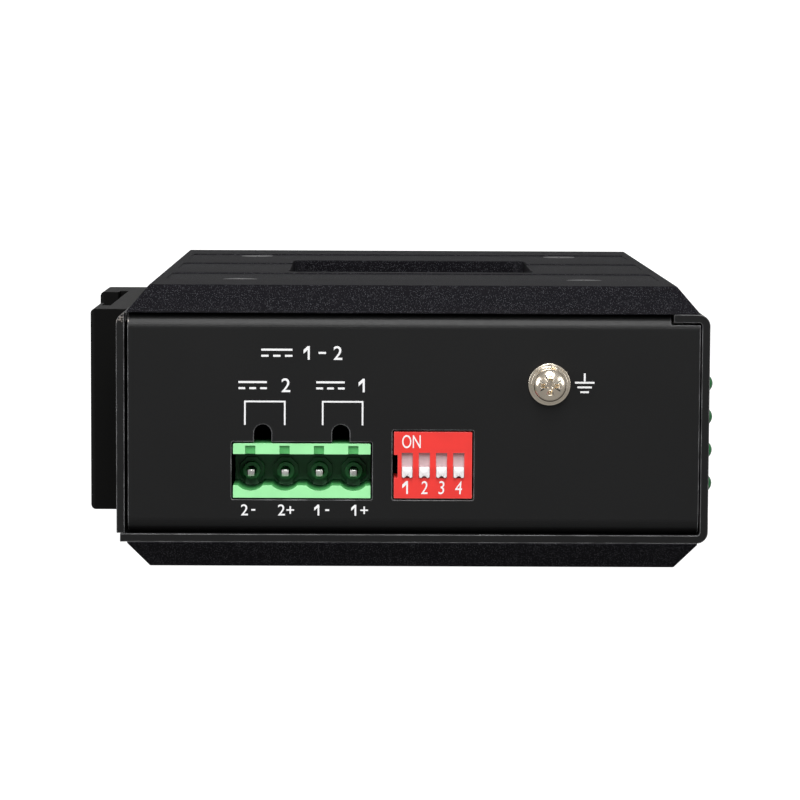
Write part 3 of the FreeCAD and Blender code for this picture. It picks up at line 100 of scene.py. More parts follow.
class Graph:
    """Short calls for filling one node tree."""

    def __init__(self, tree: Tree) -> None:
        """Starts from an empty tree."""
        self.tree = tree
        tree.nodes.clear()

    def add(self, kind: str, inputs: Optional[Dict[Any, Any]] = None, **options: Any) -> bpy.types.Node:
        """Adds a node.

        Args:
            kind: The node's type name.
            inputs: Socket name or number to a value, or to another node's output.
            options: Attributes of the node.

        Returns:
            The new node.
        """
        node = self.tree.nodes.new(kind)
        for name, value in options.items():
            setattr(node, name, value)
        for key, value in (inputs or {}).items():
            if isinstance(value, Socket):
                self.tree.links.new(value, node.inputs[key])
            else:
                node.inputs[key].default_value = value
        return node

    def math(self, operation: str, first: Any, second: Any = 0.0, clamp: bool = False) -> Socket:
        """Adds a Math node and returns its output."""
        return self.add("ShaderNodeMath", {0: first, 1: second}, operation=operation, use_clamp=clamp).outputs[0]

    def ramp(self, value: Socket, low: float, high: float, to_low: float = 0.0, to_high: float = 1.0) -> Socket:
        """Adds a smooth Map Range node and returns its output."""
        node = self.add(
            "ShaderNodeMapRange", {0: value, 1: low, 2: high, 3: to_low, 4: to_high}, interpolation_type="SMOOTHSTEP")
        return node.outputs[0]

    def share(self, value: Any, amount: Any) -> Socket:
        """Returns a value times an amount, kept from 0 to 1."""
        return self.math("MULTIPLY", value, amount, clamp=True)

    def noise(self, place: Socket, scale: Any, detail: float, roughness: float = 0.5) -> Socket:
        """Adds a noise texture and returns its value."""
        inputs = {"Vector": place, "Scale": scale, "Detail": detail, "Roughness": roughness}
        return self.add("ShaderNodeTexNoise", inputs).outputs[0]

    def per_metre(self, size: Socket) -> Socket:
        """Returns how many times a size in millimetres fits into a metre."""
        return self.math("DIVIDE", 1 / MM, size)

    def place(self) -> Socket:
        """Returns the place on the object, in metres."""
        return self.add("ShaderNodeTexCoord").outputs["Object"]

    def axes(self) -> Any:
        """Returns the X, Y and Z of the place on the object."""
        return self.add("ShaderNodeSeparateXYZ", {0: self.place()}).outputs

    def group(self, tree: Tree, **inputs: float) -> Any:
        """Adds a shared group and returns its outputs."""
        return self.add("ShaderNodeGroup", inputs, node_tree=tree).outputs

    def dress(self, shader: bpy.types.Node, values: Outputs, height: Socket, relief: float) -> None:
        """Wires a shader, with a bump.

        Args:
            shader: The Principled shader.
            values: Socket name to value.
            height: Height of the bump, from 0 to 1.
            relief: How high 1 is, in millimetres.
        """
        bump = self.add("ShaderNodeBump", {"Strength": 1.0, "Distance": relief * MM, "Height": height})
        for label, value in {**values, "Normal": bump.outputs[0]}.items():
            self.tree.links.new(value, shader.inputs[label])

    def blend(self, factor: Any, first: Any, second: Any) -> Socket:
        """Adds a colour Mix node and returns its output."""
        node = self.add("ShaderNodeMix", {0: factor, 6: first, 7: second}, data_type="RGBA")
        return node.outputs[2]


def shader_group(name: str, inputs: Dict[str, float],
                 build: Callable[[Graph, Any], Outputs]) -> Tree:
    """Makes a shader node group.

    Args:
        name: The group's name.
        inputs: Input names with their default values.
        build: Called with the group's graph and its inputs; returns its outputs by name.

    Returns:
        The group.
    """
    tree = bpy.data.node_groups.new(name, "ShaderNodeTree")
    graph = Graph(tree)
    for label, value in inputs.items():
        socket = tree.interface.new_socket(label, in_out="INPUT", socket_type="NodeSocketFloat")
        socket.default_value = value
    outputs = build(graph, graph.add("NodeGroupInput").outputs)
    for label in outputs:
        tree.interface.new_socket(label, in_out="OUTPUT", socket_type="NodeSocketFloat")
    graph.add("NodeGroupOutput", outputs)
    return tree


@dataclass
class Effects:
    """Surface effects that several finishes share, each one node group."""

    grain: Tree = field(init=False)
    wear: Tree = field(init=False)
    drawn: Tree = field(init=False)
    dust: Tree = field(init=False)
    depth: Tree = field(init=False)

    def __post_init__(self) -> None:
        """Builds every group once, with sizes in millimetres."""
        self.grain = shader_group("coat_grain", {"Size": 0.2, "Cloud": 12.0, "Rarity": 0.8}, self._grain)
        self.wear = shader_group("painted_edge_highlight", {"Reach": 0.2, "Patch": 3.0}, self._wear)
        self.drawn = shader_group("drawn_lines", {"Pitch": 0.15, "Stretch": 0.04}, self._drawn)
        self.dust = shader_group("thin_dust", {"Patch": 18.0, "Amount": 0.3}, self._dust)
        self.depth = shader_group("socket_shade", {"Lower": 0.0, "Upper": 1.0}, self._depth)

    @staticmethod
    def _grain(graph: Graph, source: Any) -> Outputs:
        """Returns the grain of a baked coat or a blasted surface: height, tone and rare bright specks."""
        place = graph.place()
        density = graph.per_metre(source["Size"])
        cells = graph.add("ShaderNodeTexVoronoi", {"Vector": place, "Scale": graph.math("MULTIPLY", density, 1.5)})
        chance = graph.add("ShaderNodeSeparateColor", {0: cells.outputs["Color"]}).outputs[0]
        lone = graph.math("GREATER_THAN", chance, source["Rarity"])
        dot = graph.ramp(cells.outputs["Distance"], low=0.42, high=0.16)
        return {
            "Height": graph.noise(place, density, detail=3.0, roughness=0.6),
            "Tone": graph.noise(place, graph.per_metre(source["Cloud"]), detail=4.0),
            "Speck": graph.share(lone, dot)}

    @staticmethod
    def _wear(graph: Graph, source: Any) -> Outputs:
        """Returns a painted highlight along sharp edges, from how far a small round would turn the surface."""
        radius = graph.math("MULTIPLY", source["Reach"], MM)
        rounded = graph.add("ShaderNodeBevel", {"Radius": radius}, samples=4)
        plain = graph.add("ShaderNodeNewGeometry")
        same = graph.add(
            "ShaderNodeVectorMath", {0: rounded.outputs[0], 1: plain.outputs["True Normal"]}, operation="DOT_PRODUCT")
        edge = graph.ramp(graph.math("SUBTRACT", 1.0, same.outputs["Value"]), low=0.01, high=0.09)
        patch = graph.noise(graph.place(), graph.per_metre(source["Patch"]), detail=5.0)
        # painted highlight: the edge mask, broken into patches, lightens the finishes' colour
        return {"Mask": graph.share(edge, graph.ramp(patch, low=0.35, high=0.65, to_low=0.35))}

    @staticmethod
    def _drawn(graph: Graph, source: Any) -> Outputs:
        """Returns the fine lines that drawing, rolling or turning leaves, along the rail's direction."""
        parts = graph.axes()
        along = graph.math("MULTIPLY", parts[0], source["Stretch"])
        across = graph.add("ShaderNodeCombineXYZ", {0: along, 1: parts[1], 2: parts[2]}).outputs[0]
        density = graph.per_metre(source["Pitch"])
        return {
            "Height": graph.noise(across, density, detail=3.0),
            "Streak": graph.noise(across, graph.math("MULTIPLY", density, 0.12), detail=2.0)}

    @staticmethod
    def _dust(graph: Graph, source: Any) -> Outputs:
        """Returns thin dust that gathers in patches, with a few lint grains."""
        place = graph.place()
        film = graph.ramp(graph.noise(place, graph.per_metre(source["Patch"]), detail=6.0), low=0.45, high=0.75)
        lint = graph.ramp(graph.noise(place, FINE_GRAIN, detail=2.0), low=0.7, high=0.78)
        both = graph.math("ADD", graph.share(film, 0.35), graph.share(lint, film))
        return {"Mask": graph.share(both, source["Amount"])}

    @staticmethod
    def _depth(graph: Graph, source: Any) -> Outputs:
        """Returns how near a point lies to the mouth of a socket, for painted shade: 1 at the upper level, 0 at the
        lower.
        """
        return {"Share": graph.ramp(graph.axes()[2], source["Lower"], source["Upper"])}


@dataclass(frozen=True)
class Sunk:
    """Painted shade: the darker colour that a finish turns to on its way down into a socket, in millimetres below a
    node's top.
    """

    node: str
    start: float
    end: float
    colour: Colour


@dataclass(frozen=True)
class Finish:
    """What every finish has: a slot name, a colour and a roughness."""

    slot: str
    colour: Colour
    roughness: float
    sunk: Tuple[Sunk, ...] = field(default=(), kw_only=True)

    def deepen(self, graph: Graph, effects: Effects, base: Socket) -> Socket:
        """Lays the painted shade of the sockets over a base colour.

        Args:
            graph: The material's graph.
            effects: The shared groups.
            base: The colour at the socket's mouth.

        Returns:
            The colour at every depth.
        """
        # painted shade: the deeper a point lies in the socket, the more it takes the darker colour
        for layer in self.sunk:
            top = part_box(layer.node)[1].z
            depth = graph.group(effects.depth, Upper=top - layer.start * MM, Lower=top - layer.end * MM)
            base = graph.blend(depth["Share"], (*layer.colour, 1.0), base)
        return base

    def start(self) -> Tuple[Material, Graph, bpy.types.Node]:
        """Makes the material with its output and its Principled shader.

        Returns:
            The material, its graph and the shader node.
        """
        material = bpy.data.materials.new("finish_" + self.slot)
        material.use_nodes = True
        graph = Graph(material.node_tree)
        shader = graph.add("ShaderNodeBsdfPrincipled", {"Roughness": self.roughness})
        graph.add("ShaderNodeOutputMaterial", {"Surface": shader.outputs[0]})
        return material, graph, shader

    def uneven(self, graph: Graph, mask: Socket, spread: float) -> Socket:
        """Returns the roughness, spread about its own value by a mask."""
        return graph.math("ADD", graph.share(mask, spread), self.roughness - spread / 2, clamp=True)

    def shade(self, factor: float = 1.0) -> Tuple[float, float, float, float]:
        """Returns the colour made darker or lighter by a factor."""
        return (*(min(1.0, part * factor) for part in self.colour), 1.0)


@dataclass(frozen=True)
class Coat(Finish):
    """Black baked coat or black blasted anodising."""

    grain: float = 0.22
    relief: float = 0.012
    speck: float = 0.0
    rarity: float = 0.8
    # edge sets the strength of the painted highlight along sharp edges; the field below is its colour
    edge: float = 0.35
    edge_colour: Colour = (0.16, 0.16, 0.165)
    specular: float = 0.5
    tint: Colour = (1.0, 1.0, 1.0)
    speck_colour: Colour = (0.3, 0.3, 0.33)
    dust: float = 0.25
    dust_film: float = 0.02
    dust_colour: Colour = (0.35, 0.34, 0.32)
    bare: bool = False
    bare_colour: Colour = (0.42, 0.38, 0.35)

    def material(self, effects: Effects) -> Material:
        """Builds the coat's material."""
        material, graph, shader = self.start()
        shader.inputs["Specular IOR Level"].default_value = self.specular
        shader.inputs["Specular Tint"].default_value = (*self.tint, 1.0)
        grain = graph.group(effects.grain, Size=self.grain, Rarity=self.rarity)
        # painted highlight along sharp edges, laid over the colour together with the specks and the dust
        edge_light = graph.group(effects.wear)["Mask"]
        dust = graph.group(effects.dust, Amount=self.dust)["Mask"]
        colour = graph.blend(graph.ramp(grain["Tone"], low=0.3, high=0.7), self.shade(0.95), self.shade(1.05))
        for mask, amount, over in ((grain["Speck"], self.speck, self.speck_colour), (edge_light, self.edge, self.edge_colour),
                                   (dust, self.dust_film, self.dust_colour)):
            colour = graph.blend(graph.share(mask, amount), colour, (*over, 1.0))
        rough = self.uneven(graph, grain["Height"], 0.16)
        values = {"Base Color": colour, "Roughness": rough}
        if self.bare:
            bare = self._bare_corner(graph)
            values = {
                "Base Color": graph.blend(bare, colour, (*self.bare_colour, 1.0)),
                "Roughness": graph.math("SUBTRACT", rough, graph.share(bare, 0.12), clamp=True),
                "Metallic": graph.share(bare, 0.8)}
        graph.dress(shader, values, grain["Height"], self.relief)
        return material

    @staticmethod
    def _bare_corner(graph: Graph) -> Socket:
        """Returns a mask of bare metal on the rear bend's upper corner, where the coat has rubbed off."""
        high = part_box("cover_shell")[1]
        parts = graph.axes()
        top = graph.ramp(parts[2], high.z - 0.8 * MM, high.z - 0.1 * MM)
        side = graph.ramp(parts[0], high.x - 1.6 * MM, high.x - 1.3 * MM)
        rear = graph.ramp(parts[1], high.y - 2.0 * MM, high.y - 1.7 * MM)
        ragged = graph.ramp(graph.noise(graph.place(), FINE_GRAIN, detail=4.0), low=0.5, high=0.6)
        return graph.share(graph.share(graph.share(top, side), rear), ragged)


@dataclass(frozen=True)
class Metal(Finish):
    """Bare or plated metal with fine lines from drawing or turning."""

    pitch: float = 0.12
    relief: float = 0.004
    tint: float = 0.12
    stain: Colour = (0.45, 0.38, 0.28)

    def material(self, effects: Effects) -> Material:
        """Builds the metal's material."""
        material, graph, shader = self.start()
        shader.inputs["Metallic"].default_value = 1.0
        lines = graph.group(effects.drawn, Pitch=self.pitch)
        streak = graph.ramp(lines["Streak"], low=0.35, high=0.65)
        # painted highlight: sharp edges of the metal are made lighter
        edge_light = graph.share(graph.group(effects.wear)["Mask"], 0.7)
        film = graph.share(graph.group(effects.dust)["Mask"], self.tint * 4)
        bright = graph.blend(edge_light, graph.blend(streak, self.shade(0.86), self.shade()), self.shade(1.25))
        stained = graph.blend(film, bright, (*self.stain, 1.0))
        values = {"Base Color": self.deepen(graph, effects, stained), "Roughness": self.uneven(graph, streak, 0.1)}
        graph.dress(shader, values, lines["Height"], self.relief)
        return material


@dataclass(frozen=True)
class Plastic(Finish):
    """Moulded plastic with a faint skin texture and flow tone."""

    grain: float = 0.35
    relief: float = 0.004
    cloud: float = 0.12
    # edge sets the strength of the painted highlight along sharp edges
    edge: float = 0.2
    through: float = 0.0

    def material(self, effects: Effects) -> Material:
        """Builds the plastic's material."""
        material, graph, shader = self.start()
        shader.inputs["Transmission Weight"].default_value = self.through
        grain = graph.group(effects.grain, Size=self.grain, Cloud=4.0)
        tone = graph.ramp(grain["Tone"], low=0.3, high=0.7)
        base = graph.blend(tone, self.shade(1.0 - self.cloud), self.shade(1.0 + self.cloud * 0.5))
        # painted highlight: sharp edges turn paler than the plastic's colour
        pale = tuple(part + (1.0 - part) * 0.35 for part in self.colour)
        rubbed = graph.blend(graph.share(graph.group(effects.wear)["Mask"], self.edge), base, (*pale, 1.0))
        rough = self.uneven(graph, grain["Height"], 0.12)
        values = {"Base Color": self.deepen(graph, effects, rubbed), "Roughness": rough}
        graph.dress(shader, values, grain["Height"], self.relief)
        return material


@dataclass(frozen=True)
class Board(Finish):
    """Solder mask over copper: tracks show as paler lines."""

    cell: float = 12.0
    relief: float = 0.03

    def material(self, effects: Effects) -> Material:
        """Builds the board's material."""
        material, graph, shader = self.start()
        parts = graph.axes()
        flat = graph.add("ShaderNodeCombineXYZ", {0: parts[1], 1: parts[2]}).outputs[0]
        tracks = graph.add(
            "ShaderNodeTexBrick",
            {"Vector": flat, "Color1": self.shade(), "Color2": self.shade(1.25), "Mortar": self.shade(2.4),
             "Scale": 1 / (self.cell * MM), "Mortar Size": 0.014, "Brick Width": 1.6, "Row Height": 0.22}).outputs
        tone = graph.ramp(graph.group(effects.grain)["Tone"], low=0.3, high=0.7, to_high=0.35)
        colour = graph.blend(tone, tracks["Color"], self.shade(0.7))
        graph.dress(shader, {"Base Color": colour}, tracks["Fac"], self.relief)
        return material


# the sheet coat's sharp edges get a strong painted highlight
SHEET_COAT = Coat("chassis_black", (0.0048, 0.0049, 0.0051), 0.42, grain=0.3, relief=0.005, edge=0.8,
                  edge_colour=(0.42, 0.42, 0.43), specular=0.3)
# In each finish below, edge sets the painted highlight along sharp edges and the sunk layers paint shade into sockets.
FINISHES: Tuple[Finish, ...] = (
    SHEET_COAT,
    replace(SHEET_COAT, slot="cover_black", bare=True),
    Coat("plate_black", (0.0022, 0.0021, 0.003), 0.62, grain=0.2, relief=0.016, speck=0.34, rarity=0.62, edge=0.08,
         specular=0.1, dust=0.3, tint=(0.9, 0.88, 1.0)),
    Coat("clip_black", (0.0022, 0.0022, 0.002), 0.5, grain=0.25, relief=0.008, edge=0.15, specular=0.1),
    # painted highlight along the screw heads' edges
    Coat("screw_black", (0.02, 0.02, 0.021), 0.32, grain=0.3, relief=0.005, edge=0.8, edge_colour=(0.4, 0.4, 0.4)),
    Coat("sink_aluminium", (0.03, 0.03, 0.032), 0.45, grain=0.3, edge=0.4),
    Metal("nut_steel", (0.62, 0.61, 0.58), 0.32),
    Metal("spring_steel", (0.55, 0.55, 0.56), 0.28),
    Metal("ground_nickel", (0.98, 0.86, 0.7), 0.22, pitch=0.3, relief=0.003, tint=0.1),
    Metal("standoff_steel", (0.62, 0.61, 0.6), 0.35),
    # pins: painted shade, dark green, below their tips inside the header
    Metal("pin_tin", (0.95, 0.93, 0.9), 0.3, pitch=0.1, sunk=(Sunk("header_pins", 0.1, 0.6, (0.05, 0.1, 0.05)),)),
    Metal("shield_nickel", (0.72, 0.71, 0.69), 0.3, pitch=0.2),
    Metal("contact_gold", (0.85, 0.62, 0.25), 0.22, pitch=0.1, stain=(0.5, 0.35, 0.15)),
    Metal("crystal_steel", (0.68, 0.68, 0.68), 0.28),
    # Header: the pale base colour is a painted highlight on the lit rims; the first sunk layer paints it down to mid
    # green, the second paints the shade deep in the sockets.
    Plastic("header_green", (0.34, 0.84, 0.38), 0.42, grain=0.25, relief=0.006, cloud=0.06, edge=0.3,
            sunk=(Sunk("power_header", 0.05, 0.35, (0.11, 0.5, 0.15)),
                  Sunk("power_header", 0.8, 7.5, (0.008, 0.12, 0.03)))),
    Plastic("switch_red", (0.8, 0.035, 0.028), 0.42, grain=0.3, relief=0.004, cloud=0.06, edge=0.3),
    # sliders: painted shade, pinkish grey, below the knob top inside the windows
    Plastic("slider_white", (0.9, 0.88, 0.88), 0.4, grain=0.3, relief=0.003, cloud=0.03, edge=0.1,
            sunk=(Sunk("dip_slider_1", 0.1, 0.7, (0.66, 0.56, 0.58)),)),
    Plastic("port_black", (0.018, 0.018, 0.018), 0.5),
    Plastic("light_pipe", (0.62, 0.66, 0.6), 0.25, through=0.4),
    Plastic("led_green", (0.008, 0.16, 0.035), 0.16, grain=0.8, relief=0.001, cloud=0.2, edge=0.0, through=0.12),
    Plastic("holder_black", (0.02, 0.02, 0.02), 0.5),
    Plastic("chip_black", (0.025, 0.025, 0.027), 0.45),
    Plastic("capacitor_sleeve", (0.03, 0.04, 0.09), 0.3),
    Plastic("ferrite_grey", (0.07, 0.07, 0.075), 0.55),
    Board("board_green", (0.01, 0.09, 0.035), 0.35),
)


@dataclass
class Wardrobe:
    """All materials by slot, and the printing ink."""

    effects: Effects = field(default_factory=Effects)
    by_slot: Dict[str, Material] = field(default_factory=dict)
    ink: Material = field(init=False)

    def __post_init__(self) -> None:
        """Builds one material for each finish, and the ink."""
        for finish in FINISHES:
            self.by_slot[finish.slot] = finish.material(self.effects)
        self.ink = self._ink()

    def _ink(self) -> Material:
        """Returns white screen-printing ink, a little thin in places."""
        ink = Finish("ink", (0.93, 0.93, 0.93), 0.55)
        material, graph, shader = ink.start()
        height = graph.group(self.effects.grain, Size=0.12)["Height"]
        colour = graph.blend(graph.ramp(height, low=0.3, high=0.75), (0.8, 0.8, 0.81, 1.0), ink.shade())
        graph.dress(shader, {"Base Color": colour}, height, relief=0.004)
        return material

    def dress_nodes(self) -> None:
        """Gives every CAD node the material of its slot."""
        for entry in frame["record"]["subparts"]:
            mesh = frame["nodes"][entry["node"]].data
            mesh.materials.clear()
            mesh.materials.append(self.by_slot[entry["material_slot"]])


def slot_of(node: str) -> str:
    """Returns the material slot of a CAD node."""
    return next(entry["material_slot"] for entry in frame["record"]["subparts"] if entry["node"] == node)


class Bench:
    """Hand tools for meshes: every call works on one object that it selects itself."""

    @staticmethod
    def put(name: str, data: Any) -> Piece:
        """Returns a new object in the scene."""
        piece = bpy.data.objects.new(name, data)
        bpy.context.scene.collection.objects.link(piece)
        return piece

    @staticmethod
    def only(piece: Piece) -> None:
        """Selects one object alone and makes it active."""
        if bpy.context.mode != "OBJECT":
            bpy.ops.object.mode_set(mode="OBJECT")
        bpy.ops.object.select_all(action="DESELECT")
        piece.select_set(True)
        bpy.context.view_layer.objects.active = piece

    @staticmethod
    @contextmanager
    def editing() -> Iterator[None]:
        """Holds the active object in edit mode, with all of it selected at first."""
        bpy.ops.object.mode_set(mode="EDIT")
        bpy.ops.mesh.select_all(action="SELECT")
        yield
        bpy.ops.object.mode_set(mode="OBJECT")

    @staticmethod
    def pick(piece: Piece, kind: str, test: Callable[[Any], bool]) -> None:
        """Selects the faces or edges that pass a test, in edit mode.

        Args:
            piece: The object in edit mode.
            kind: What its mesh calls them, polygons or edges.
            test: Called with each of them.
        """
        bpy.ops.mesh.select_all(action="DESELECT")
        bpy.ops.object.mode_set(mode="OBJECT")
        for part in getattr(piece.data, kind):
            part.select = bool(test(part))
        bpy.ops.object.mode_set(mode="EDIT")

    @staticmethod
    def settle(piece: Piece) -> Piece:
        """Bakes an object's place into its mesh, so the object sits at the origin."""
        Bench.only(piece)
        bpy.ops.object.transform_apply(location=True, rotation=True, scale=True)
        return piece

    @staticmethod
    def finish(piece: Piece, name: str, body: Body, slot: str, material: Material) -> None:
        """Names a piece, dresses it and makes it ride on its body."""
        piece.name = name
        piece.data.name = name
        piece.data.materials.clear()
        piece.data.materials.append(material)
        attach(piece, body.value)
        LOG.info("made %s with %d faces", name, len(piece.data.polygons))

    @staticmethod
    def join(pieces: Sequence[Piece]) -> Piece:
        """Joins pieces into the first."""
        Bench.only(pieces[0])
        for piece in pieces:
            piece.select_set(True)
        if len(pieces) > 1:
            bpy.ops.object.join()
        return bpy.context.view_layer.objects.active

    @staticmethod
    def bevel(piece: Piece, width: float, segments: int, angle: float) -> None:
        """Rounds the sharp edges of a piece and lets its large faces rule the shading round them.

        Args:
            piece: The object.
            width: Width of the round, in millimetres.
            segments: Steps of the round.
            angle: Edges sharper than this many degrees are rounded.
        """
        Bench.only(piece)
        rounding = piece.modifiers.new("soft_edges", "BEVEL")
        rounding.width = width * MM
        rounding.segments = segments
        rounding.limit_method = "ANGLE"
        rounding.angle_limit = math.radians(angle)
        rounding.use_clamp_overlap = False
        rounding.loop_slide = False
        bpy.ops.object.modifier_apply(modifier=rounding.name)
        bpy.ops.object.shade_smooth_by_angle(angle=math.radians(2 * angle))
        weighting = piece.modifiers.new("flat_faces", "WEIGHTED_NORMAL")
        weighting.keep_sharp = True
        weighting.weight = 100
        bpy.ops.object.modifier_apply(modifier=weighting.name)
        Bench.flatten(piece.data)

    @staticmethod
    def flatten(mesh: bpy.types.Mesh, least: float = 1.0, gap: float = 0.002, parallel: float = 0.99999) -> None:
        """Shades every plane flat, however thin the slivers are that it is cut into.

        Args:
            mesh: The mesh, with its smooth normals set.
            least: Area of a face that starts a plane, in square millimetres.
            gap: A corner this near to a plane lies on it, in millimetres.
            parallel: Cosine between the normals of faces on one plane, at least.
        """
        corners = [vertex.co for vertex in mesh.vertices]
        planes: List[Tuple[Vector, float]] = []
        at: Dict[int, Set[int]] = {}
        plane_of: Dict[int, int] = {}

        def near(face: bpy.types.MeshPolygon) -> Set[int]:
            """Returns the planes that pass through a face's corners."""
            return {number for corner in face.vertices for number in at.get(corner, ())}

        def claim(face: bpy.types.MeshPolygon, number: int) -> None:
            """Puts a face on a plane."""
            plane_of[face.index] = number
            for corner in face.vertices:
                at.setdefault(corner, set()).add(number)

        for face in mesh.polygons:
            if face.area > least * MM * MM:
                number = next((one for one in near(face) if planes[one][0].dot(face.normal) > parallel), len(planes))
                if number == len(planes):
                    planes.append((face.normal.copy(), face.normal.dot(face.center)))
                claim(face, number)
        waiting = [face for face in mesh.polygons if face.index not in plane_of]
        grown = True
        while grown:
            grown = False
            left = []
            for face in waiting:
                number = next((one for one in near(face) if all(
                    abs(planes[one][0].dot(corners[corner]) - planes[one][1]) < gap * MM
                    for corner in face.vertices)), None)
                if number is None:
                    left.append(face)
                else:
                    grown = True
                    claim(face, number)
            waiting = left
        normals = [Vector(corner.vector) for corner in mesh.corner_normals]
        for index, number in plane_of.items():
            for loop in mesh.polygons[index].loop_indices:
                normals[loop] = planes[number][0]
        mesh.normals_split_custom_set(normals)


@dataclass
class SoftEdges:
    """CAD pieces whose sharp edges get the small round that a coat, a mould or a press leaves."""

    node: str
    name: str
    width: float
    body: Body = Body.HOUSING
    segments: int = 2
    angle: float = 28.0

    def build(self, wardrobe: Wardrobe) -> None:
        """Copies the node, merges its loose faces and rounds its edges; the copy stands for the node."""
        piece = Bench.put(self.name, frame["nodes"][self.node].data.copy())
        Bench.only(piece)
        with Bench.editing():
            bpy.ops.mesh.remove_doubles(threshold=2e-6)
        Bench.bevel(piece, self.width, self.segments, self.angle)
        slot = slot_of(self.node)
        Bench.finish(piece, self.name, self.body, slot, wardrobe.by_slot[slot])
        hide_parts(self.node)


@dataclass
class Enclosure:
    """Sheets, plates and clip with softened edges."""

    coat_edge: float = 0.055
    plate_edge: float = 0.1
    clip_edge: float = 0.05

    def build(self, wardrobe: Wardrobe) -> None:
        """Builds the softened enclosure pieces."""
        for node, name, edge in (
                ("cover_shell", "cover_coated", self.coat_edge),
                ("base_chassis", "chassis_coated", self.coat_edge),
                ("side_plate_right", "right_plate_blasted", self.plate_edge),
                ("side_plate_left", "left_plate_blasted", self.plate_edge),
                ("din_clip", "clip_anodised", self.clip_edge)):
            SoftEdges(node, name, edge).build(wardrobe)


@dataclass
class Connectors:
    """Header, switch and ground hardware with moulded or pressed edges."""

    mould_edge: float = 0.03
    pin_edge: float = 0.06
    knob_edge: float = 0.03
    screw_edge: float = 0.04
    washer_edge: float = 0.06

    def build(self, wardrobe: Wardrobe) -> None:
        """Builds the softened connector pieces."""
        SoftEdges("power_header", "header_moulded", self.mould_edge).build(wardrobe)
        SoftEdges("header_pins", "header_pins_tinned", self.pin_edge).build(wardrobe)
        SoftEdges("dip_body", "switch_body_moulded", self.mould_edge).build(wardrobe)
        for number, body in enumerate((Body.SLIDER_1, Body.SLIDER_2, Body.SLIDER_3, Body.SLIDER_4), 1):
            node, name = "dip_slider_%d" % number, "switch_slider_%d_moulded" % number
            SoftEdges(node, name, self.knob_edge, body, segments=1).build(wardrobe)
        SoftEdges("ground_screw", "ground_screw_plated", self.screw_edge, angle=35.0).build(wardrobe)
        SoftEdges("ground_flat_washer", "flat_washer_plated", self.washer_edge).build(wardrobe)
        SoftEdges("ground_spring_washer", "spring_washer_plated", self.washer_edge).build(wardrobe)


@dataclass
class StatusLenses:
    """Smooth lenses of the status lights with a cup inside each."""

    radius: float = 1.5
    flange: float = 1.85
    flange_depth: float = 1.0
    pitch: float = 5.08
    lights: int = 4
    cup_radius: float = 0.55
    cup_depth: float = 0.9
    cup_rim: float = 0.12
    cup_hollow: float = 0.35
    cup_draft: float = 0.6

    def build(self, wardrobe: Wardrobe) -> None:
        """Builds one lens and one cup, then copies them for every light."""
        low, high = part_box("status_leds")
        reach = self.pitch * (self.lights - 1) / 2
        first = Vector(((low.x + high.x) / 2 + reach * MM, low.y, (low.z + high.z) / 2))
        lenses = [self._lens(first, high.y)]
        cups = [self._cup(first)]
        for number in range(1, self.lights):
            step = Vector((-self.pitch * MM * number, 0.0, 0.0))
            lenses.append(self._copy(lenses[0], step))
            cups.append(self._copy(cups[0], step))
        lens = Bench.join(lenses)
        bpy.ops.object.shade_smooth_by_angle(angle=math.radians(35))
        Bench.finish(lens, "status_lenses", Body.HOUSING, "led_green", wardrobe.by_slot["led_green"])
        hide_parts("status_leds")
        cup = Bench.join(cups)
        Bench.finish(cup, "status_cups", Body.HOUSING, "spring_steel", wardrobe.by_slot["spring_steel"])

    def _lens(self, tip: Vector, rear: float) -> Piece:
        """Returns a domed lens: half a sphere drawn back to its flange.

        Args:
            tip: The foremost point of the dome.
            rear: The Y of the flange's rear face.
        """
        middle = tip + Vector((0.0, self.radius * MM, 0.0))
        bpy.ops.mesh.primitive_uv_sphere_add(segments=40, ring_count=20, radius=self.radius * MM, location=middle,
                                             rotation=(math.pi / 2, 0.0, 0.0))
        piece = Bench.settle(bpy.context.active_object)
        grow = self.flange / self.radius
        with Bench.editing():
            bpy.ops.mesh.bisect(plane_co=middle, plane_no=(0.0, 1.0, 0.0), clear_outer=True)
            self._draw_back(rear - self.flange_depth * MM - middle.y)
            bpy.ops.mesh.extrude_edges_move()
            bpy.ops.transform.resize(value=(grow, 1.0, grow), center_override=(middle.x, middle.y, middle.z))
            self._draw_back(self.flange_depth * MM)
            bpy.ops.mesh.edge_face_add()
            bpy.ops.mesh.select_all(action="SELECT")
            bpy.ops.mesh.normals_make_consistent(inside=False)
        return piece

    @staticmethod
    def _draw_back(depth: float) -> None:
        """Extrudes the selected rim to the rear."""
        bpy.ops.mesh.extrude_edges_move(TRANSFORM_OT_translate={"value": (0.0, depth, 0.0)})

    def _cup(self, tip: Vector) -> Piece:
        """Returns the small cup and post inside a lens."""
        middle = tip + Vector((0.0, self.radius * MM * 1.9, 0.0))
        bpy.ops.mesh.primitive_cylinder_add(
            vertices=16, radius=self.cup_radius * MM, depth=self.cup_depth * MM, location=middle,
            rotation=(math.pi / 2, 0.0, 0.0))
        piece = Bench.settle(bpy.context.active_object)
        with Bench.editing():
            Bench.pick(piece, "polygons", lambda face: face.normal.y < -0.9)
            bpy.ops.mesh.inset(thickness=self.cup_rim * MM)
            bpy.ops.mesh.extrude_region_move(TRANSFORM_OT_translate={"value": (0.0, self.cup_hollow * MM, 0.0)})
            bpy.ops.transform.resize(value=(self.cup_draft, 1.0, self.cup_draft))
        return piece

    @staticmethod
    def _copy(piece: Piece, step: Vector) -> Piece:
        """Returns a copy with its own mesh, moved by a step."""
        twin = Bench.put(piece.name, piece.data.copy())
        Bench.only(twin)
        with Bench.editing():
            bpy.ops.transform.translate(value=step)
        return twin


